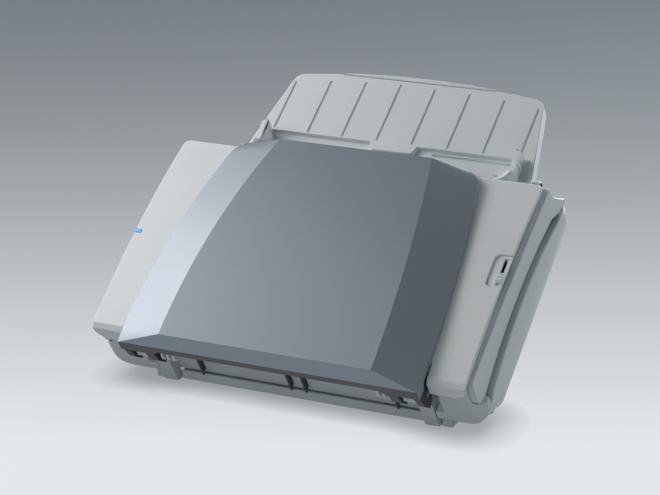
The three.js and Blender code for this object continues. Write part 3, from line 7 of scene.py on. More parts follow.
import json
import logging
import math
from dataclasses import dataclass
from enum import Enum
from typing import Callable, ClassVar, Sequence

import bmesh
import bpy
import numpy as np
from mathutils import Matrix, Vector

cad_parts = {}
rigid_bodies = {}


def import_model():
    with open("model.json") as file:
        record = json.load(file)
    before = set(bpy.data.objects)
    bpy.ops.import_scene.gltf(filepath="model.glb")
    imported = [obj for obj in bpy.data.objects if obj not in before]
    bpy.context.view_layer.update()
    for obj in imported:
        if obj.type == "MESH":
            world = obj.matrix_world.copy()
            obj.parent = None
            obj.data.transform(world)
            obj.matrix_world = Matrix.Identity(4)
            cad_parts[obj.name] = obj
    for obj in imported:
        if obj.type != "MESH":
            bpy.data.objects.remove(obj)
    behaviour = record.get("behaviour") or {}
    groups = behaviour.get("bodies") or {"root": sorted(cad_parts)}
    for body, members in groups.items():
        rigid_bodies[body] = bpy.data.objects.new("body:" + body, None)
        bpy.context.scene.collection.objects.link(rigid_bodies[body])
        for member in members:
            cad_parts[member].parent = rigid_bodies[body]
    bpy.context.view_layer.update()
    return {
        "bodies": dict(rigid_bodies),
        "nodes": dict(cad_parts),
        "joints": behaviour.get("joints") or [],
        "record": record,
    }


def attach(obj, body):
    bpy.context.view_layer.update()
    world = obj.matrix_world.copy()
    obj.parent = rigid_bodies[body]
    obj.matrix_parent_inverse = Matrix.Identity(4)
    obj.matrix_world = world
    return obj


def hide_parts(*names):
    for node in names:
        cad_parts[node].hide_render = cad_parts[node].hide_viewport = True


LOG = logging.getLogger("scanner")
MM = 0.001

Array = np.ndarray
Colour = tuple[float, ...]

PANEL_LENGTH = 190.0
PANEL_RISE = 5.6
HINGE_S, HINGE_T = -3.5, -17.6

# Points closer than this, in metres, are one: in new meshes, in copies of CAD nodes, and for
# edges that count as having no length
MERGE, CAD_MERGE, NO_LENGTH = 2e-6, 5e-6, 1e-6
# Faces of a CAD node that turn by less than this many degrees are one flat face
FLAT_TURN = 0.4
# Edges that turn by more than this many degrees are rounded
SHARP_TURN = 30.0


def linear(code: str) -> Colour:
    """Turns an sRGB hex code into linear red, green, blue and alpha.

    Args:
        code: the colour as # and six hex digits.

    Returns:
        Four numbers from 0 to 1.
    """
    values = [int(code[i:i + 2], 16) / 255 for i in (1, 3, 5)]
    return tuple(v / 12.92 if v <= 0.04045 else ((v + 0.055) / 1.055) ** 2.4
                 for v in values) + (1.0,)


class Texture(Enum):
    """How the surface of a finish was made."""

    MOULDED = "moulded"
    METALLIC = "metallic"
    BRUSHED = "brushed"
    RUBBER = "rubber"
    CLEAR = "clear"
    BOARD = "board"


@dataclass(frozen=True)
class Finish:
    """One real material: its colour, gloss and the grain of its surface.

    Args:
        name: common name and how the surface was made.
        colour: sRGB hex code of the body colour.
        roughness: middle roughness of the surface.
        texture: how the surface was made.
        grain: size of the surface grain in millimetres.
        bump: height of the grain in millimetres.
        metallic: 1 for bare metal, 0 for plastic.
        coat: strength of a clear coat or of a polished skin.
        ior: refractive index of the surface.
        emission: strength of a lit lens.
    """

    # How far the colour swings either way, where the grain or flake shows in it
    SPREADS: ClassVar[dict[Texture, float]] = {
        Texture.METALLIC: 0.10, Texture.BRUSHED: 0.18, Texture.BOARD: 0.25}
    # How far it swings in plain moulded plastic, over a broad cloud of 1 / 18 m
    EVEN_SPREAD: ClassVar[float] = 0.035
    CLOUD_SCALE: ClassVar[float] = 18.0
    # Width of one cell of the grain's noise, in grains
    CELL_GRAINS: ClassVar[float] = 2.5
    GLOSS_SWING: ClassVar[float] = 0.05
    COAT_ROUGHNESS: ClassVar[float] = 0.12
    BUMP_STRENGTH: ClassVar[float] = 0.5
    CLEARNESS: ClassVar[float] = 0.85
    # Brushed or rolled lines run along x
    BRUSHED_STRETCH: ClassVar[tuple[float, float, float]] = (0.04, 1.0, 1.0)

    name: str
    colour: str
    roughness: float
    texture: Texture = Texture.MOULDED
    grain: float = 0.35
    bump: float = 0.01
    metallic: float = 0.0
    coat: float = 0.0
    ior: float = 1.5
    emission: float = 0.0

    def material(self) -> bpy.types.Material:
        """Returns the node material, made once and then shared."""
        return bpy.data.materials.get(self.name) or self._make()

    def _make(self) -> bpy.types.Material:
        """Builds the node tree: body colour with a faint cloud, uneven gloss and a fine grain.

        Returns:
            The new material.
        """
        material = bpy.data.materials.new(self.name)
        material.use_nodes = True
        tree = material.node_tree
        shader = tree.nodes["Principled BSDF"]
        base = linear(self.colour)
        clearness = self.CLEARNESS if self.texture is Texture.CLEAR else 0.0
        for key, value in {"Metallic": self.metallic, "Coat Weight": self.coat, "IOR": self.ior,
                           "Coat Roughness": self.COAT_ROUGHNESS, "Emission Color": base,
                           "Emission Strength": self.emission,
                           "Transmission Weight": clearness}.items():
            shader.inputs[key].default_value = value
        stretch = self.BRUSHED_STRETCH if self.texture is Texture.BRUSHED else (1.0, 1.0, 1.0)
        place = add_node(tree, "ShaderNodeTexCoord").outputs["Object"]
        mapped = add_node(tree, "ShaderNodeMapping", {"Scale": stretch},
                          {"Vector": place}).outputs["Vector"]
        cloud = add_node(tree, "ShaderNodeTexNoise", {"Scale": self.CLOUD_SCALE, "Detail": 2.0},
                         {"Vector": mapped}).outputs["Fac"]
        cells = 1 / (self.CELL_GRAINS * self.grain * MM)
        grain = add_node(tree, "ShaderNodeTexNoise",
                         {"Scale": cells, "Detail": 3.0, "Roughness": 0.6},
                         {"Vector": mapped}).outputs["Fac"]
        spread = self.SPREADS.get(self.texture, self.EVEN_SPREAD)
        dark = tuple(c * (1 - spread) for c in base[:3]) + (1.0,)
        pale = tuple(min(1.0, c * (1 + spread)) for c in base[:3]) + (1.0,)
        driver = grain if self.texture in self.SPREADS else cloud
        mix = add_node(tree, "ShaderNodeMix", {"A": dark, "B": pale}, {"Factor": driver},
                       data_type="RGBA")
        gloss = add_node(tree, "ShaderNodeMapRange",
                         {"To Min": self.roughness - self.GLOSS_SWING,
                          "To Max": self.roughness + self.GLOSS_SWING}, {"Value": cloud})
        bump = add_node(tree, "ShaderNodeBump",
                        {"Strength": self.BUMP_STRENGTH, "Distance": self.bump * MM},
                        {"Height": grain})
        tree.links.new(mix.outputs[2], shader.inputs["Base Color"])
        tree.links.new(gloss.outputs["Result"], shader.inputs["Roughness"])
        tree.links.new(bump.outputs["Normal"], shader.inputs["Normal"])
        return material


def add_node(tree: bpy.types.NodeTree, kind: str,
             settings: dict[str | int, object] | None = None,
             links: dict[str | int, bpy.types.NodeSocket] | None = None,
             **attributes: object) -> bpy.types.Node:
    """Adds a node with its settings and links.

    Args:
        tree: node tree that gets the node.
        kind: Blender's name of the node type.
        settings: values of input sockets, by name or number.
        links: output sockets that feed input sockets, by name or number.
        attributes: properties of the node itself.

    Returns:
        The new node.
    """
    node = tree.nodes.new(kind)
    for key, value in attributes.items():
        setattr(node, key, value)
    for key, value in (settings or {}).items():
        socket_of(node, key).default_value = value
    for key, source in (links or {}).items():
        tree.links.new(source, socket_of(node, key))
    return node


def socket_of(node: bpy.types.Node, key: str | int) -> bpy.types.NodeSocket:
    """Finds an input socket.

    Args:
        node: the node.
        key: the socket's number, or the name of an enabled socket.

    Returns:
        The socket.
    """
    if isinstance(key, int):
        return node.inputs[key]
    return next(s for s in node.inputs if s.name == key and s.enabled)


# The real spark texture has grains of about 0.1 mm, too fine to show here, so it is drawn at
# 0.35 mm. It leaves pale grey ABS matt, with a soft sheen at grazing angles.
PANEL_ABS = Finish("pale_grey_abs_spark_textured", "#DDE2E4", 0.46, coat=0.05)
# The same ABS in a darker grey, a little more matt, for the body below the panel
BODY_ABS = Finish("mid_grey_abs_spark_textured", "#CBD1D4", 0.5)
# Tray plastic, a shade cooler than the panel and as matt as the body
TRAY_ABS = Finish("cool_grey_abs_spark_textured", "#D4DADC", 0.5)
# Painted cover: blue grey lacquer with fine metal flake, silky gloss with a faint sparkle
COVER_LACQUER = Finish("blue_grey_metallic_lacquer", "#8A97A1", 0.42, Texture.METALLIC,
                       grain=0.3, bump=0.004, metallic=0.25, coat=0.15)
# Unpainted dull dark plastic under the cover. The same colour is also painted shade: on the rear
# shell's rim in the groove behind the parting line, and on the cover's lip, which faces down
DARK_ABS_AND_SHADE = Finish("dark_grey_abs_moulded", "#43484C", 0.5)
# Black plastic of the arms and paper guides: dull, nearly without highlights
BLACK_ABS = Finish("black_abs_moulded", "#17191B", 0.55)
# Gears and rollers' hubs: off-white and waxy
ACETAL = Finish("natural_acetal_moulded", "#DAD9D3", 0.45)
# Tyres and feet: a coarse, dusty black without gloss
RUBBER = Finish("black_rubber_moulded", "#222324", 0.85, Texture.RUBBER, grain=0.6, bump=0.03)
# Chassis, shafts and pins: bare metal with fine rolled lines
STEEL = Finish("zinc_plated_steel_rolled", "#A9ADB0", 0.35, Texture.BRUSHED, metallic=1.0)
# Control board: mottled green resist over copper
SOLDER_MASK = Finish("green_solder_mask", "#1D5A38", 0.4, Texture.BOARD, grain=1.5)
# Windows of the two image sensors: clear and mirror smooth
GLASS = Finish("clear_float_glass", "#DDE6E6", 0.05, Texture.CLEAR)
# Status window: glossy blue acrylic, faintly lit
LENS = Finish("blue_acrylic_lens", "#3F97DC", 0.2, coat=0.5, emission=0.6)

SLOT_FINISH = {
    "panel_plastic": PANEL_ABS, "light_plastic": BODY_ABS, "tray_plastic": TRAY_ABS,
    "dark_plastic": COVER_LACQUER, "black_plastic": BLACK_ABS, "white_plastic": ACETAL,
    "rubber": RUBBER, "steel": STEEL, "board": SOLDER_MASK, "sensor_glass": GLASS, "lens": LENS,
}


@dataclass(frozen=True)
class Slab:
    """The leaning frame that the scanner is drawn in.

    Args:
        y: row position of the slab's zero, in metres.
        z: height of the slab's zero, in metres.
        lean: lean of the panel against the desk, in degrees.
    """

    y: float
    z: float
    lean: float = 34.3

    @classmethod
    def from_hinge(cls, joint: dict) -> "Slab":
        """Finds the slab from the place of the cover's hinge.

        Args:
            joint: the joint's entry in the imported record.

        Returns:
            The slab whose point (HINGE_S, HINGE_T) lies there.
        """
        cosine, sine = math.cos(math.radians(cls.lean)), math.sin(math.radians(cls.lean))
        _, y, z = joint["pos_m"]
        return cls(y - (HINGE_S * cosine - HINGE_T * sine) * MM,
                   z - (HINGE_S * sine + HINGE_T * cosine) * MM)

    def world(self, points: Array) -> Array:
        """Turns slab points into row points: a rotation by the lean about x and a shift.

        Args:
            points: array whose last axis is (x, s, t) in millimetres.

        Returns:
            The same array as (x, y, z) in metres.
        """
        angle = math.radians(self.lean)
        x, s, t = np.moveaxis(np.asarray(points, float) * MM, -1, 0)
        return np.stack([x, self.y + s * math.cos(angle) - t * math.sin(angle),
                         self.z + s * math.sin(angle) + t * math.cos(angle)], -1)

    def local(self, points: Array) -> Array:
        """Turns row points into slab points: the shift back and the lean undone.

        Args:
            points: array whose last axis is (x, y, z) in metres.

        Returns:
            The same array as (x, s, t) in millimetres.
        """
        angle = math.radians(self.lean)
        x, y, z = np.moveaxis(np.asarray(points, float) - (0.0, self.y, self.z), -1, 0) / MM
        return np.stack([x, y * math.cos(angle) + z * math.sin(angle),
                         z * math.cos(angle) - y * math.sin(angle)], -1)


def arch(s: Array) -> Array:
    """Finds the panel's height over its chord: its rise less the squared share from the middle.

    Args:
        s: places along the panel.

    Returns:
        The heights there.
    """
    return PANEL_RISE * (1 - (2 * np.asarray(s, float) / PANEL_LENGTH - 1) ** 2)


def ease(values: Array, start: float, end: float) -> Array:
    """Finds the share of the way from start to end, held at 0 before and at 1 after.

    Args:
        values: places on the way.
        start: where the share is 0.
        end: where the share is 1.

    Returns:
        The shares.
    """
    return np.clip((values - start) / (end - start), 0, 1)


def grid_faces(rows: int, columns: int) -> Array:
    """Numbers the quads of a grid whose points are stored row by row.

    Args:
        rows: points down the grid.
        columns: points across it.

    Returns:
        Four corner numbers for each quad.
    """
    start = (np.arange(rows - 1)[:, None] * columns + np.arange(columns - 1)).ravel()
    return np.stack([start, start + 1, start + columns + 1, start + columns], -1)


def ring_faces(first: Array, second: Array) -> Array:
    """Numbers the quads between two closed rings of as many points.

    Args:
        first: point numbers round one ring.
        second: the point numbers beside them in the other ring.

    Returns:
        Four corner numbers for each quad, in the order of the rings' points.
    """
    return np.stack([first, np.roll(first, -1), np.roll(second, -1), second], -1)


def soften(work: bmesh.types.BMesh, sharp_angle: float) -> None:
    """Shades all faces smooth and keeps the edges sharp where two faces turn by more.

    Args:
        work: the mesh in work.
        sharp_angle: the angle in degrees.
    """
    for face in work.faces:
        face.smooth = True
    for edge in work.edges:
        turn = edge.calc_face_angle(0.0)
        edge.smooth = len(edge.link_faces) == 2 and turn < math.radians(sharp_angle)


def mesh_object(name: str, points: Array, faces: Sequence[Sequence[int]], finish: Finish,
                sharp_angle: float = 35.0) -> bpy.types.Object:
    """Makes an object from points and faces, with doubles merged and normals outwards.

    Args:
        name: name of the piece.
        points: rows of (x, y, z) in metres.
        faces: corner numbers of each face.
        finish: what the piece is made of.
        sharp_angle: edges that turn by more than this many degrees stay sharp.

    Returns:
        The object, linked to the scene.
    """
    mesh = bpy.data.meshes.new(name)
    corners = [[int(number) for number in face] for face in faces]
    mesh.from_pydata(np.asarray(points, float).reshape(-1, 3).tolist(), [], corners)
    work = bmesh.new()
    work.from_mesh(mesh)
    bmesh.ops.remove_doubles(work, verts=work.verts, dist=MERGE)
    bmesh.ops.dissolve_degenerate(work, edges=work.edges, dist=NO_LENGTH)
    bmesh.ops.recalc_face_normals(work, faces=work.faces)
    soften(work, sharp_angle)
    work.to_mesh(mesh)
    work.free()
    piece = bpy.data.objects.new(name, mesh)
    bpy.context.scene.collection.objects.link(piece)
    mesh.materials.append(finish.material())
    return piece


def prism(name: str, slab: Slab, outline: Array, low: float, high: float,
          finish: Finish) -> bpy.types.Object:
    """Carries an (s, t) outline straight along x, with a flat face at each end.

    Args:
        name: name of the piece.
        slab: the leaning frame.
        outline: the outline's points in order.
        low: one end along x.
        high: the other end along x.
        finish: what the piece is made of.

    Returns:
        The piece.
    """
    count = len(outline)
    ring = np.arange(count)
    ends = [np.column_stack([np.full(count, x), outline]) for x in (low, high)]
    faces = [*ring_faces(ring, ring + count), ring[::-1], ring + count]
    return mesh_object(name, slab.world(np.vstack(ends)), faces, finish)


def bevel(piece: bpy.types.Object, width: float, segments: int = 2, angle: float = SHARP_TURN,
          clamp: bool = False) -> None:
    """Rounds a piece's edges.

    Args:
        piece: the piece.
        width: width of the rounding in millimetres.
        segments: steps in the rounding.
        angle: edges that turn by less than this many degrees stay as they are.
        clamp: whether the rounding shrinks where edges lie close together.
    """
    modifier = piece.modifiers.new("edge_round", "BEVEL")
    modifier.width = width * MM
    modifier.segments = segments
    modifier.limit_method = "ANGLE"
    modifier.angle_limit = math.radians(angle)
    modifier.harden_normals = True
    modifier.use_clamp_overlap = clamp


def dressed_copy(node: bpy.types.Object, name: str, finish: Finish,
                 width: float) -> bpy.types.Object:
    """Copies a CAD node's mesh, merges it, joins its flat faces and rounds its edges.

    Args:
        node: the CAD node's object.
        name: name of the new piece.
        finish: what the piece is made of.
        width: width of the edge rounding in millimetres.

    Returns:
        The new piece, which stands for the node.
    """
    mesh = node.data.copy()
    mesh.name = name
    work = bmesh.new()
    work.from_mesh(mesh)
    bmesh.ops.remove_doubles(work, verts=work.verts, dist=CAD_MERGE)
    bmesh.ops.dissolve_limit(work, angle_limit=math.radians(FLAT_TURN), verts=work.verts,
                             edges=work.edges)
    soften(work, SHARP_TURN)
    work.to_mesh(mesh)
    work.free()
    mesh.materials.clear()
    mesh.materials.append(finish.material())
    piece = bpy.data.objects.new(name, mesh)
    bpy.context.scene.collection.objects.link(piece)
    bevel(piece, width)
    return piece


def paint_faces(piece: bpy.types.Object, finish: Finish, slab: Slab,
                chosen: Callable[[Array], Array]) -> None:
    """Gives some faces of a piece a second finish.

    Args:
        piece: the piece.
        finish: what those faces are made of.
        slab: the leaning frame.
        chosen: tells from the faces' middles, in the slab frame, which faces they are.
    """
    mesh = piece.data
    mesh.materials.append(finish.material())
    middles = np.empty(len(mesh.polygons) * 3)
    mesh.polygons.foreach_get("center", middles)
    picked = chosen(slab.local(middles.reshape(-1, 3)))
    mesh.polygons.foreach_set("material_index", picked.astype(np.int32))


@dataclass(frozen=True)
class EjectCover:
    """The dark faceted cover: its skin, lip, hinge arms and stiffening ribs.

    Args:
        mid: middle of the cover along s.
        half: half of its length.
        low_s: where the front lip stands.
        facet_s: where the bottom facet meets the flat middle.
        high_s: where the top edge lies.
        corner: radius of the top corners, seen from above.
        edge_half: half width at the edge, in the middle of the cover.
        edge_taper: how much it narrows towards the top.
        edge_bow: how much it narrows towards both ends.
        edge_height: height of the edge in the middle of the cover.
        edge_sag: how much lower the edge is at both ends.
        crease_half: half width at the crease, in the middle of the cover.
        crease_taper: how much it narrows towards the top.
        crease_bow: how much it narrows towards both ends.
        crease_height: height of the crease in the middle of the cover.
        crease_sag: how much lower the crease is at both ends.
        low_edge_half: half width of the bottom facet's lower edge.
        low_edge_corner: width of that edge's corners.
        low_edge_t: height of that edge.
        lip_s: the skirt hangs in front of the panel up to here.
        lip_t: height of the skirt's rim there.
        arm_drop: how much lower that rim is in front of the arms.
        arm_ramp: half widths between which it comes down.
        over_panel: gap between the skirt and the panel.
        slot_half: half width of the slot in the top edge's wall.
        slot_low: height of the slot's lower side.
        slot_high: height of its upper side.
        wall: thickness of the skin.
        rounding: width of the rounding of its edges.
        facet_turn: edges that turn by more than this many degrees are rounded.
        smooth_turn: those that turn by less than this are shaded as one surface.
        touch: how far apart two places may be and still count as the same.
        hole: radius of the arms' holes for the hinge pins.
    """

    # Grid of the skin: rows up the bottom facet, up the straight part and round the top corners,
    # columns over a side facet, and shares of the crease's width where the middle has columns
    FACET_ROWS: ClassVar[int] = 4
    STRAIGHT_ROWS: ClassVar[int] = 60
    CORNER_ROWS: ClassVar[int] = 12
    FACET_COLUMNS: ClassVar[int] = 7
    INNER_SHARES: ClassVar[tuple[float, ...]] = (0.17, 0.35, 0.52)
    OUTER_SHARES: ClassVar[tuple[float, ...]] = (0.745, 0.785, 0.86)
    # Two arms on each side, by their ends along x, and the outline of an arm over and under a
    # line through the hinge, with so many points on each half of the hole
    ARM_ENDS: ClassVar[tuple[tuple[float, float], ...]] = ((97.7, 105.4), (118.6, 124.0))
    ARM_UPPER: ClassVar[tuple[tuple[float, float], ...]] = (
        (4.05, HINGE_T), (6.0, -14.0), (6.0, 6.5), (-14.5, 3.4), (-16.2, 2.6), (-16.3, -0.6),
        (-15.0, -8.8), (-13.053, HINGE_T))
    ARM_LOWER: ClassVar[tuple[tuple[float, float], ...]] = (
        (-13.053, HINGE_T), (-12.5, -20.1), (-6.6, -30.0), (-0.5, -26.0), (4.05, HINGE_T))
    HOLE_POINTS: ClassVar[int] = 13
    # Ribs: their sides along x, their thickness, their ends along s with so many points between,
    # and their gaps to the panel and to the skin's crease
    RIB_X: ClassVar[tuple[float, ...]] = (60.0, -61.6)
    RIB_WIDTH: ClassVar[float] = 1.6
    RIB_ENDS: ClassVar[tuple[float, float]] = (12.0, 186.0)
    RIB_POINTS: ClassVar[int] = 25
    RIB_GAPS: ClassVar[tuple[float, float]] = (3.9, 1.25)

    mid: float = 90.0
    half: float = 100.0
    low_s: float = -17.0
    facet_s: float = -10.8
    high_s: float = 191.5
    corner: float = 14.0
    edge_half: float = 120.5
    edge_taper: float = 9.8
    edge_bow: float = 5.8
    edge_height: float = 9.0
    edge_sag: float = 3.3
    crease_half: float = 82.6
    crease_taper: float = 11.0
    crease_bow: float = 5.5
    crease_height: float = 19.8
    crease_sag: float = 4.9
    low_edge_half: float = 124.3
    low_edge_corner: float = 0.5
    low_edge_t: float = 4.4
    lip_s: float = -5.0
    lip_t: float = -2.0
    arm_drop: float = 3.0
    arm_ramp: tuple[float, float] = (92.0, 97.0)
    over_panel: float = 0.6
    slot_half: float = 45.6
    slot_low: float = 9.1
    slot_high: float = 12.2
    wall: float = 2.5
    rounding: float = 0.9
    facet_turn: float = 13.0
    smooth_turn: float = 12.0
    touch: float = 0.1
    hole: float = 3.0

    def share(self, s: Array) -> Array:
        """Returns the place along the cover, from its middle, in halves of its length."""
        return (np.asarray(s, float) - self.mid) / self.half

    def edge(self, s: Array) -> tuple[Array, Array]:
        """Finds the cover's edge: parabolas over s, pulled in on an arc round the top corners.

        Args:
            s: places along the cover.

        Returns:
            Half widths and heights there.
        """
        q = self.share(s)
        over = np.clip(np.asarray(s, float) - (self.high_s - self.corner), 0, self.corner)
        pull = self.corner - np.sqrt(self.corner ** 2 - over ** 2)
        width = self.edge_half - self.edge_taper * q - self.edge_bow * q ** 2 - pull
        return width, self.edge_height - self.edge_sag * q ** 2

    def crease(self, s: Array) -> tuple[Array, Array]:
        """Finds the crease between the flat middle and a side facet: parabolas over s.

        Args:
            s: places along the cover.

        Returns:
            Half widths and heights there.
        """
        q = self.share(s)
        width = self.crease_half - self.crease_taper * q - self.crease_bow * q ** 2
        return width, self.crease_height - self.crease_sag * q ** 2

    def skin_points(self) -> Array:
        """Lays rows of points across the cover, from the left edge over both creases to the right.

        A row is straight from edge to crease and from crease to crease. The first rows lead
        straight down from the first station to the bottom facet's lower edge.

        Returns:
            The grid, with (x, s, t) in its last axis.
        """
        straight = np.linspace(self.facet_s, self.high_s - self.corner, self.STRAIGHT_ROWS)
        turn = np.sin(np.linspace(0, math.pi / 2, self.CORNER_ROWS + 1)[1:])
        s = np.concatenate([straight, self.high_s - self.corner + self.corner * turn])
        edge_x, edge_t = (values[:, None] for values in self.edge(s))
        crease_x, crease_t = (values[:, None] for values in self.crease(s))
        slot_share = self.slot_half / float(self.crease(self.high_s)[0])
        half = np.array([*self.INNER_SHARES, slot_share, *self.OUTER_SHARES])
        middle = np.concatenate([-half[::-1], [0.0], half])
        facet = np.linspace(0, 1, self.FACET_COLUMNS)
        left_x = -edge_x + (edge_x - crease_x) * facet
        left_t = edge_t + (crease_t - edge_t) * facet
        x = np.hstack([left_x, crease_x * middle, -left_x[:, ::-1]])
        t = np.hstack([left_t, np.repeat(crease_t, len(middle), 1), left_t[:, ::-1]])
        rows = np.stack([x, np.repeat(s[:, None], x.shape[1], 1), t], -1)
        low = rows[0].copy()
        low[:, 0] = self.low_row_x(low[:, 0], float(edge_x[0, 0]), float(crease_x[0, 0]))
        low[:, 1:] = self.low_s, self.low_edge_t
        steps = np.linspace(0, 1, self.FACET_ROWS + 1)[:-1, None, None]
        return np.concatenate([low * (1 - steps) + rows[0] * steps, rows])

    def low_row_x(self, x: Array, edge: float, crease: float) -> Array:
        """Spreads the first row over the lower edge: side facets fill only its corners."""
        flat = np.clip(x / crease, -1, 1) * (self.low_edge_half - self.low_edge_corner)
        return flat + np.sign(x) * ease(np.abs(x), crease, edge) * self.low_edge_corner

    def rim_height(self, points: Array) -> Array:
        """Finds the skirt's rim: just over the panel, lower in front of it, most so by the arms.

        Args:
            points: points of the skin's edge.

        Returns:
            The rim's height under each of them.
        """
        x, s = points[..., 0], points[..., 1]
        front = self.lip_t - self.arm_drop * ease(np.abs(x), *self.arm_ramp)
        panel = arch(np.clip(s, 0, PANEL_LENGTH)) + self.over_panel
        return np.where(s < self.lip_s, front, panel)

    def skin(self, slab: Slab) -> bpy.types.Object:
        """Builds the skin with a skirt down to its rim, and a slot in the top edge's wall.

        Args:
            slab: the leaning frame.

        Returns:
            The skin, with its wall and rounded edges as modifiers.
        """
        grid = self.skin_points()
        rows, columns = grid.shape[:2]
        index = np.arange(rows * columns).reshape(rows, columns)
        rim = np.concatenate([index[0], index[1:, -1], index[-1, -2::-1], index[-2:0:-1, 0]])
        flat = grid.reshape(-1, 3)
        low, over, under = flat[rim].copy(), flat[rim].copy(), flat[rim].copy()
        low[:, 2], over[:, 2], under[:, 2] = self.rim_height(low), self.slot_high, self.slot_low
        low_ring, over_ring, under_ring = (len(flat) + i * len(rim) + np.arange(len(rim))
                                           for i in range(3))
        middles = (flat[rim] + np.roll(flat[rim], -1, 0)) / 2
        at_top = middles[:, 1] > self.high_s - self.touch
        slotted = at_top & (np.abs(middles[:, 0]) < self.slot_half)
        faces = np.vstack([grid_faces(rows, columns), ring_faces(rim, low_ring)[~slotted],
                           ring_faces(rim, over_ring)[slotted],
                           ring_faces(under_ring, low_ring)[slotted]])
        points = slab.world(np.vstack([flat, low, over, under]))
        skin = mesh_object("eject_cover_skin", points, faces, COVER_LACQUER, self.smooth_turn)
        # Painted shade: the lip's faces, which face down, are drawn in the dark finish
        paint_faces(skin, DARK_ABS_AND_SHADE, slab, self.is_shaded_lip)
        bevel(skin, self.rounding, 3, self.facet_turn, clamp=True)
        wall = skin.modifiers.new("wall", "SOLIDIFY")
        wall.thickness = self.wall * MM
        wall.offset = -1
        return skin

    def is_shaded_lip(self, middles: Array) -> Array:
        """Tells by their middles which faces are the lip's: they face down and get painted shade
        in the dark finish.
        """
        return (middles[:, 1] < self.low_s + self.touch) & (middles[:, 2] < self.low_edge_t)

    def arm(self, name: str, slab: Slab, low: float, high: float) -> bpy.types.Object:
        """Carries the arm's outline along x, with a round hole for the hinge pin.

        Both ends are two faces that meet on a line through the hole, where no wall stands. The
        walls follow the outline and the hole, which is two half circles.

        Args:
            name: name of the piece.
            slab: the leaning frame.
            low: one end along x.
            high: the other end along x.

        Returns:
            The arm.
        """
        turn = np.linspace(0, math.pi, self.HOLE_POINTS)
        across, up = self.hole * np.cos(turn), self.hole * np.sin(turn)
        top_arc = np.column_stack([HINGE_S + across, HINGE_T + up])
        low_arc = np.column_stack([HINGE_S + across, HINGE_T - up])
        points, faces = [], []
        for shape in (np.vstack([self.ARM_UPPER, top_arc[::-1]]),
                      np.vstack([self.ARM_LOWER, low_arc])):
            count = len(shape)
            ring = np.arange(count) + sum(map(len, points))
            points.extend(np.column_stack([np.full(count, x), shape]) for x in (low, high))
            seam = np.isclose(shape[:, 1], HINGE_T)
            walls = ~(seam & np.roll(seam, -1))
            faces += [ring, ring[::-1] + count, *ring_faces(ring, ring + count)[walls]]
        return mesh_object(name, slab.world(np.vstack(points)), faces, BLACK_ABS)

    def make(self, slab: Slab) -> list[bpy.types.Object]:
        """Builds the skin, then the hinge arms and the ribs under it.

        Args:
            slab: the leaning frame.

        Returns:
            All the pieces.
        """
        ends = [(side * low, side * high) for side in (1, -1) for low, high in self.ARM_ENDS]
        s = np.linspace(*self.RIB_ENDS, self.RIB_POINTS)
        low, high = arch(s) + self.RIB_GAPS[0], self.crease(s)[1] - self.RIB_GAPS[1]
        outline = np.vstack([np.column_stack([s, low]), np.column_stack([s, high])[::-1]])
        return [self.skin(slab),
                *(self.arm(f"eject_cover_arm_{i}", slab, *pair) for i, pair in enumerate(ends)),
                *(prism(f"eject_cover_rib_{i}", slab, outline, x, x + self.RIB_WIDTH, DARK_ABS_AND_SHADE)
                  for i, x in enumerate(self.RIB_X))]


@dataclass(frozen=True)
class Parting:
    """The line down each side where the front unit meets the rear body: a parabola over s.

    Args:
        level: height of the line in its middle.
        mid: middle of the line along s.
        half: half of its length.
        sag: how much lower it is at both ends.
        side: half width beyond which a point belongs to a side.
        start: the stretch along s over which the moving of the edges sets in.
    """

    level: float
    mid: float = 105.0
    half: float = 85.0
    sag: float = 9.4
    side: float = 140.0
    start: tuple[float, float] = (5.0, 25.0)

    def share(self, s: Array) -> Array:
        """Returns the squared place along the line, from its middle, in halves of its length."""
        return ((s - self.mid) / self.half) ** 2

    def height(self, s: Array) -> Array:
        """Returns the line's height: its level less the sag at the squared share."""
        return self.level - self.sag * self.share(s)


@dataclass(frozen=True)
class FrontUnit:
    """The light front unit, whose lower side edge is raised to the photographed curve.

    Args:
        line: the unit's lower side edge.
        rise: how far the edge is raised.
        ear_rise: how much further it is raised at the ear.
        ear_ramp: the stretch along s over which that sets in.
        ear_s: from here the side belongs to the ear.
        top: height over the edge where the raising has faded out.
        reach: height over which it fades out.
        ear_top: height at the ear where it has faded out.
        ear_reach: height over which it fades out there.
    """

    NODES: ClassVar[tuple[str, ...]] = ("front_cover", "side_strip_right", "side_strip_left")

    line: Parting = Parting(-31.0)
    rise: float = 3.8
    ear_rise: float = 3.2
    ear_ramp: tuple[float, float] = (186.0, 200.0)
    ear_s: float = PANEL_LENGTH
    top: float = 10.0
    reach: float = 9.0
    ear_top: float = -40.0
    ear_reach: float = 12.0

    def lift(self, points: Array) -> Array:
        """Raises the lower side edge, most where the side runs into the ear at the top end.

        Args:
            points: points of the unit.

        Returns:
            How far each of them is raised.
        """
        x, s, t = np.abs(points[:, 0]), points[:, 1], points[:, 2]
        amount = self.rise + self.ear_rise * ease(s, *self.ear_ramp)
        top = np.where(s < self.ear_s, self.line.height(s) + self.top, self.ear_top)
        reach = np.where(s < self.ear_s, self.reach, self.ear_reach)
        fade = np.clip((top - t) / reach, 0, 1)
        return amount * fade * ease(s, *self.line.start) * (x > self.line.side)


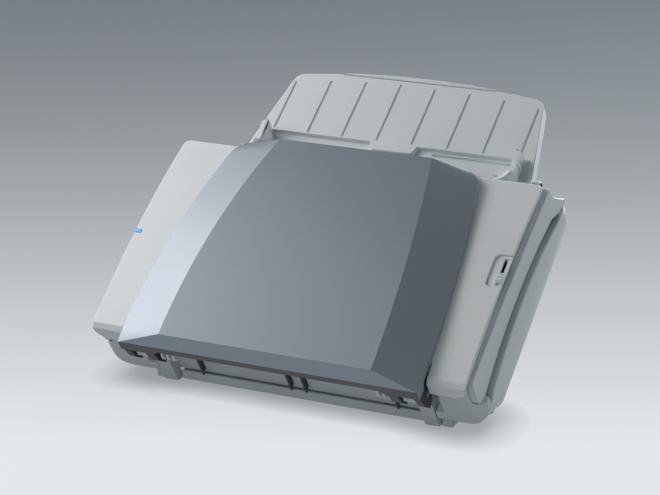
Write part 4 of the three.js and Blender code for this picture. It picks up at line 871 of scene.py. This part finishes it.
@dataclass(frozen=True)
class RearBody:
    """The rear shell, whose side edges follow the photographed curves, with its rim painted dark
    as the shade in the groove behind the parting line.

    Args:
        line: the shell's upper side edge.
        rise: how far the edge is raised in its middle.
        rise_sag: how much less at both ends.
        drop: how far under the edge the raising starts.
        reach: height over which it grows from there.
        rim_rise: how far the rim inside the edge is raised.
        rim_over: the rim's points lie this far over the edge.
        rim_half: the rim's half width.
        ear_s: from here only points outside the rim are raised.
        ear_half: half width of those points.
        low_rise: how far the lower side edge is raised.
        low_depth: depths under the panel between which that sets in.
        low_s: places up the slope between which it sets in.
        low_half: half widths between which it sets in.
        shade_s: from here on the rim is painted dark as shade.
        shade_over: the faces painted as shade lie this far over the edge.
    """

    line: Parting = Parting(-40.3)
    rise: float = 9.2
    rise_sag: float = 1.7
    drop: float = 25.0
    reach: float = 22.0
    rim_rise: float = 3.8
    rim_over: float = 2.0
    rim_half: float = 157.0
    ear_s: float = 188.0
    ear_half: float = 156.0
    low_rise: float = 3.5
    low_depth: tuple[float, float] = (58.0, 73.0)
    low_s: tuple[float, float] = (40.0, 80.0)
    low_half: tuple[float, float] = (120.0, 140.0)
    shade_s: float = 26.0
    shade_over: float = 0.5

    def lift(self, points: Array) -> Array:
        """Raises the upper side edge and the rim inside it, and slims the lower side edge.

        Args:
            points: points of the shell.

        Returns:
            How far each of them is raised.
        """
        x, s, t = np.abs(points[:, 0]), points[:, 1], points[:, 2]
        edge = self.line.height(s)
        outer = self.rise - self.rise_sag * self.line.share(s)
        outer = outer * np.clip((t - edge + self.drop) / self.reach, 0, 1)
        inside = (t > edge + self.rim_over) & (x < self.rim_half)
        upper = np.where(inside, self.rim_rise, outer) * ease(s, *self.line.start)
        lower = ease(-t, *self.low_depth) * ease(s, *self.low_s) * ease(x, *self.low_half)
        side = x > np.where(s > self.ear_s, self.ear_half, self.line.side)
        return upper * side + self.low_rise * lower

    def is_shaded_rim(self, middles: Array) -> Array:
        """Tells by their middles which faces are the rim's, behind the parting line: they get
        painted shade in the dark finish.
        """
        x, s, t = np.abs(middles[:, 0]), middles[:, 1], middles[:, 2]
        over = t > self.line.height(s) + self.shade_over
        return over & (x > self.line.side) & (s > self.shade_s)


@dataclass(frozen=True)
class BaseStand:
    """The base, whose front edge is raised to meet the wall over it.

    Args:
        slab: the leaning frame.
        front: the front edge's points lie before this place along y.
        floor: they lie over this height.
        rise: how far they are raised.
    """

    slab: Slab
    front: float = -85.0
    floor: float = 5.0
    rise: float = 3.7

    def lift(self, points: Array) -> Array:
        """Returns how far each point of the base is raised: those of the front edge alone."""
        row = self.slab.world(points) / MM
        return self.rise * ((row[:, 1] < self.front) & (row[:, 2] > self.floor))


@dataclass(frozen=True)
class FeedTray:
    """The feed tray's outer side walls, and the flares of its document guides.

    Args:
        low_s: the side walls start here.
        high_s: they end here.
        half: half width over the walls, at half_s.
        half_s: the place up the slope where that holds.
        spread: how much it grows for each millimetre towards the hinge.
        wall: thickness of the walls.
        low_t: height of the walls' lower edge.
        high_t: height of their upper edge.
        flare_rise: how far a guide's flare is raised at its top.
        flare_half: the flares lie within this half width.
        flare_foot: height of a flare's foot.
        flare_height: height of a flare's tip over its foot.
        flare_slope: how much lower a flare is at its low end.
        flare_s: the stretch along s over which it grows.
        flare_over: points up to this far over the tip belong to the flare.
        rounding: width of the rounding of the walls' edges.
    """

    GUIDES: ClassVar[tuple[str, ...]] = ("document_guide_right", "document_guide_left")

    low_s: float = 232.0
    high_s: float = 303.0
    half: float = 113.55
    half_s: float = 302.0
    spread: float = 0.18
    wall: float = 2.6
    low_t: float = -55.0
    high_t: float = -42.1
    flare_rise: float = 4.2
    flare_half: float = 110.6
    flare_foot: float = -44.6
    flare_height: float = 13.2
    flare_slope: float = 3.6
    flare_s: tuple[float, float] = (224.5, 243.0)
    flare_over: float = 0.5
    rounding: float = 0.5

    def sides(self, slab: Slab) -> list[bpy.types.Object]:
        """Builds the two outer side walls, straight in plan and spreading towards the hinge.

        Args:
            slab: the leaning frame.

        Returns:
            The left and the right wall.
        """
        s = np.array([self.low_s, self.high_s])
        outer = self.half + self.spread * (self.half_s - s)
        plan = np.vstack([np.column_stack([outer, s]),
                          np.column_stack([outer - self.wall, s])[::-1]])
        ring = np.arange(4)
        faces = [ring, ring[::-1] + 4, *ring_faces(ring, ring + 4)]
        walls = []
        for name, side in (("tray_side_left", -1), ("tray_side_right", 1)):
            points = [np.column_stack([plan * (side, 1), np.full(4, t)])
                      for t in (self.low_t, self.high_t)]
            wall = mesh_object(name, slab.world(np.vstack(points)), faces, TRAY_ABS)
            bevel(wall, self.rounding)
            walls.append(wall)
        return walls

    def flare_lift(self, points: Array) -> Array:
        """Raises the guides' flares so that their concave backs run up to the fins' tips.

        Args:
            points: points of a document guide.

        Returns:
            How far each of them is raised.
        """
        x, s, t = np.abs(points[:, 0]), points[:, 1], points[:, 2]
        height = self.flare_height - self.flare_slope * (1 - ease(s, *self.flare_s))
        share = np.clip((t - self.flare_foot) / height, 0, 1)
        tip = height + self.flare_foot + self.flare_over
        flare = (x < self.flare_half) & (t < tip)
        return self.flare_rise * share * flare


class Scanner:
    """Dresses every CAD node and adds the pieces that replace some of them."""

    # Pieces that a dressed copy stands for, with the rounding of their edges
    ROUNDING = {
        "front_cover": 0.8, "rear_shell": 1.2, "side_strip_right": 0.6, "side_strip_left": 0.6,
        "tray_shell": 0.5, "base_stand": 0.8, "hinge_bracket_right": 0.6,
        "hinge_bracket_left": 0.6, "exit_guide": 0.3, "feed_extension": 0.4,
        "document_guide_right": 0.3, "document_guide_left": 0.3, "selector_plate": 0.2,
        "selector_knob": 0.25, "front_foot_right": 0.5, "front_foot_left": 0.5,
        "status_lens": 0.3,
    }

    def __init__(self, frame: dict) -> None:
        """Reads the frame and finds the slab.
        """
        record = frame["record"]
        self.nodes = frame["nodes"]
        self.body_of = {node: body for body, members in record["behaviour"]["bodies"].items()
                        for node in members}
        self.slot_of = {part["node"]: part["material_slot"] for part in record["subparts"]}
        joints = {joint["name"]: joint for joint in frame["joints"]}
        self.slab = Slab.from_hinge(joints["eject_cover_hinge"])

    def finish_of(self, node: str) -> Finish:
        """Returns the finish of a CAD node by its material slot."""
        return SLOT_FINISH[self.slot_of[node]]

    def adopt(self, piece: bpy.types.Object, node: str) -> None:
        """Makes a piece ride on a node's body and stand for it.

        Args:
            piece: the piece.
            node: the CAD node's name.
        """
        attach(piece, self.body_of[node])
        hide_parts(node)
        LOG.info("%s stands for %s", piece.name, node)

    def dress(self) -> None:
        """Gives every node its finish, and those that show a copy with rounded edges."""
        for name, node in self.nodes.items():
            node.data.materials.clear()
            node.data.materials.append(self.finish_of(name).material())
        for name, width in self.ROUNDING.items():
            finish = DARK_ABS_AND_SHADE if name == "exit_guide" else self.finish_of(name)
            piece = dressed_copy(self.nodes[name], f"{name}_dressed", finish, width)
            self.adopt(piece, name)

    def shift(self, name: str, lift: Callable[[Array], Array]) -> None:
        """Moves the points of a dressed piece out of the slab.

        Args:
            name: the CAD node's name.
            lift: finds from the points, in the slab frame, how far each of them goes.
        """
        mesh = bpy.data.objects[f"{name}_dressed"].data
        points = np.empty(len(mesh.vertices) * 3)
        mesh.vertices.foreach_get("co", points)
        local = self.slab.local(points.reshape(-1, 3))
        local[:, 2] += lift(local)
        mesh.vertices.foreach_set("co", self.slab.world(local).ravel())
        mesh.update()

    def build(self) -> None:
        """Dresses the nodes, then builds and reshapes each sub-assembly in turn."""
        self.dress()
        for piece in EjectCover().make(self.slab):
            self.adopt(piece, "cover_shell")
        rear, front, tray = RearBody(), FrontUnit(), FeedTray()
        # Painted shade: the rim in the groove behind the parting line is drawn in the dark finish
        paint_faces(bpy.data.objects["rear_shell_dressed"], DARK_ABS_AND_SHADE, self.slab, rear.is_shaded_rim)
        self.shift("rear_shell", rear.lift)
        for name in front.NODES:
            self.shift(name, front.lift)
        for wall in tray.sides(self.slab):
            self.adopt(wall, "tray_shell")
        for name in tray.GUIDES:
            self.shift(name, tray.flare_lift)
        self.shift("base_stand", BaseStand(self.slab).lift)


@dataclass(frozen=True)
class Lamp:
    """A square soft lamp that points at the scanner.

    Args:
        name: the side that it lights.
        place: where it hangs, in metres.
        size: length of its sides, in metres.
        power: its power in watts.
        tint: its linear colour.
    """

    AIM: ClassVar[Vector] = Vector((0.0, 0.0, 0.1))

    name: str
    place: tuple[float, float, float]
    size: float
    power: float
    tint: tuple[float, float, float]

    def hang(self) -> None:
        """Puts the lamp in the scene."""
        data = bpy.data.lights.new(self.name, "AREA")
        data.size = self.size
        data.energy = self.power
        data.color = self.tint
        lamp = bpy.data.objects.new(self.name, data)
        lamp.location = self.place
        lamp.rotation_euler = (self.AIM - Vector(self.place)).to_track_quat("-Z", "Y").to_euler()
        bpy.context.scene.collection.objects.link(lamp)


WARM, COOL = (1.0, 0.965, 0.965), (0.9, 1.0, 1.0)


@dataclass(frozen=True)
class Studio:
    """Floor, lamps and camera.

    Args:
        lens: focal length in millimetres, for a sensor of 36 mm.
        camera_place: the camera's place from the slab's zero, in metres.
        back: direction from the scanner to the camera.
        right: direction to the right of the picture.
        surround: strength of the even light from all around.
        floor_half: half of the floor's width, in metres.
        near_tone: tone of the paper before the scanner.
        far_tone: tone that it falls off to far behind.
        away: direction on the floor in which it falls off.
        fall_start: where that begins along this direction, in metres.
        fall_end: where it stops.
        fall_length: distance over which the difference falls to 1 / e.
        fall_power: power of the distance in the formula of the fall.
        glow: share of white that the camera sees in the paper's own light.
        spill: share of it that falls on the scanner.
        reflectance: share of its tone that the paper reflects from the lamps.
        shade_reach: the scanner shades the paper from up to this height, in metres.
        shade_open: share of open sky under which the shade is full.
        shade_light: share of the paper's own light that is left there.
    """

    LAMPS: ClassVar[tuple[Lamp, ...]] = (
        Lamp("key", (-0.9, -0.2, 0.6), 0.8, 8.6, WARM),
        Lamp("key_high", (-0.7, -0.3, 1.1), 0.8, 2.5, WARM),
        Lamp("back_left", (-1.3, 0.3, 0.9), 0.8, 4.5, WARM),
        Lamp("back", (0.3, 1.3, 0.6), 0.8, 26.0, COOL),
        Lamp("front_left", (-0.3, -0.9, 0.15), 0.4, 0.35, COOL),
        Lamp("front_right", (0.4, -1.6, 0.5), 1.0, 4.0, COOL),
        Lamp("right", (1.1, 0.0, 0.5), 0.8, 1.6, COOL),
    )

    lens: float = 120.4
    camera_place: tuple[float, float, float] = (0.6892, -1.3859, 0.5978)
    back: tuple[float, float, float] = (0.3986, -0.8610, 0.3160)
    right: tuple[float, float, float] = (0.9075, 0.4201, 0.0)
    surround: float = 0.03
    floor_half: float = 12.0
    near_tone: str = "#E4E7EB"
    far_tone: str = "#747B80"
    away: tuple[float, float, float] = (-0.4201, 0.9075, 0.0)
    fall_start: float = -0.179
    fall_end: float = 1.477
    fall_length: float = 0.576
    fall_power: float = 1.2
    glow: float = 0.965
    spill: float = 0.3
    reflectance: float = 0.05
    shade_reach: float = 0.03
    shade_open: float = 0.35
    shade_light: float = 0.5

    def make(self, slab: Slab) -> None:
        """Builds the camera, the floor, the lamps and the surround.

        Args:
            slab: the leaning frame.
        """
        self.camera(slab)
        self.floor()
        for lamp in self.LAMPS:
            lamp.hang()
        self.world()

    def camera(self, slab: Slab) -> None:
        """Places the camera at the photograph's viewing angle.

        Args:
            slab: the leaning frame.
        """
        data = bpy.data.cameras.new("camera")
        data.sensor_width = 36.0
        data.lens = self.lens
        data.clip_end = 20.0
        camera = bpy.data.objects.new("camera", data)
        bpy.context.scene.collection.objects.link(camera)
        back, right = Vector(self.back), Vector(self.right)
        turn = Matrix((right, back.cross(right), back)).transposed().to_4x4()
        place = Vector(self.camera_place) + Vector((0.0, slab.y, slab.z))
        camera.matrix_world = Matrix.Translation(place) @ turn
        bpy.context.scene.camera = camera

    def floor(self) -> None:
        """Lays a flat paper floor, which is no part of the scanner."""
        size = self.floor_half
        corners = [(-size, -size, 0), (size, -size, 0), (size, size, 0), (-size, size, 0)]
        mesh = bpy.data.meshes.new("studio_floor")
        mesh.from_pydata(corners, [], [(0, 1, 2, 3)])
        mesh.materials.append(self.paper())
        floor = bpy.data.objects.new("studio_floor", mesh)
        bpy.context.scene.collection.objects.link(floor)

    def paper(self) -> bpy.types.Material:
        """Makes the glowing paper, which darkens with the distance behind the scanner.

        With u as the distance over the fall's length, the share of the near tone is e to the
        minus u to the power. Most of the paper's light is its own, so it stays even under the
        lamps; that light fades where the scanner shades the paper from above.

        Returns:
            The new material.
        """
        material = bpy.data.materials.new("studio_paper")
        material.use_nodes = True
        tree = material.node_tree
        shader = tree.nodes["Principled BSDF"]
        shader.inputs["Roughness"].default_value = 0.9
        shader.inputs["Specular IOR Level"].default_value = 0.0
        place = add_node(tree, "ShaderNodeTexCoord").outputs["Object"]
        along = add_node(tree, "ShaderNodeVectorMath", {1: self.away}, {0: place},
                         operation="DOT_PRODUCT")
        lengths = (self.fall_end - self.fall_start) / self.fall_length
        distance = add_node(tree, "ShaderNodeMapRange",
                            {"From Min": self.fall_start, "From Max": self.fall_end,
                             "To Max": lengths}, {"Value": along.outputs["Value"]})
        bent = add_node(tree, "ShaderNodeMath", {1: self.fall_power},
                        {0: distance.outputs["Result"]}, operation="POWER")
        near = add_node(tree, "ShaderNodeMath", {0: math.exp(-1)}, {1: bent.outputs[0]},
                        operation="POWER")
        tone = add_node(tree, "ShaderNodeMix",
                        {"A": linear(self.far_tone), "B": linear(self.near_tone)},
                        {"Factor": near.outputs[0]}, data_type="RGBA").outputs[2]
        shade = add_node(tree, "ShaderNodeAmbientOcclusion", {"Distance": self.shade_reach},
                         samples=16)
        fade = add_node(tree, "ShaderNodeMapRange",
                        {"From Min": self.shade_open, "To Min": self.shade_light},
                        {"Value": shade.outputs["AO"]})
        rays = add_node(tree, "ShaderNodeLightPath").outputs
        mirrored = add_node(tree, "ShaderNodeMath", None,
                            {0: rays["Is Camera Ray"], 1: rays["Is Glossy Ray"]},
                            operation="MAXIMUM")
        seen = add_node(tree, "ShaderNodeMath", None,
                        {0: mirrored.outputs[0], 1: rays["Is Transmission Ray"]},
                        operation="MAXIMUM")
        own = add_node(tree, "ShaderNodeMapRange", {"To Min": self.spill, "To Max": self.glow},
                       {"Value": seen.outputs[0]})
        strength = add_node(tree, "ShaderNodeMath", None,
                            {0: fade.outputs["Result"], 1: own.outputs["Result"]},
                            operation="MULTIPLY")
        lit = add_node(tree, "ShaderNodeMix",
                       {"Factor": 1 - self.reflectance, "B": (0.0, 0.0, 0.0, 1.0)}, {"A": tone},
                       data_type="RGBA")
        tree.links.new(lit.outputs[2], shader.inputs["Base Color"])
        tree.links.new(tone, shader.inputs["Emission Color"])
        tree.links.new(strength.outputs[0], shader.inputs["Emission Strength"])
        return material

    def world(self) -> None:
        """Gives an even white surround and a plain view."""
        world = bpy.data.worlds.new("studio")
        world.use_nodes = True
        background = world.node_tree.nodes["Background"]
        background.inputs["Color"].default_value = linear("#FFFFFF")
        background.inputs["Strength"].default_value = self.surround
        bpy.context.scene.world = world
        bpy.context.scene.view_settings.view_transform = "Standard"


def main() -> None:
    """Loads the frame, dresses the scanner, sets the studio and reports."""
    logging.basicConfig(level=logging.INFO, format="%(name)s: %(message)s")
    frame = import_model()
    scanner = Scanner(frame)
    scanner.build()
    Studio().make(scanner.slab)


if __name__ == "__main__":
    main()
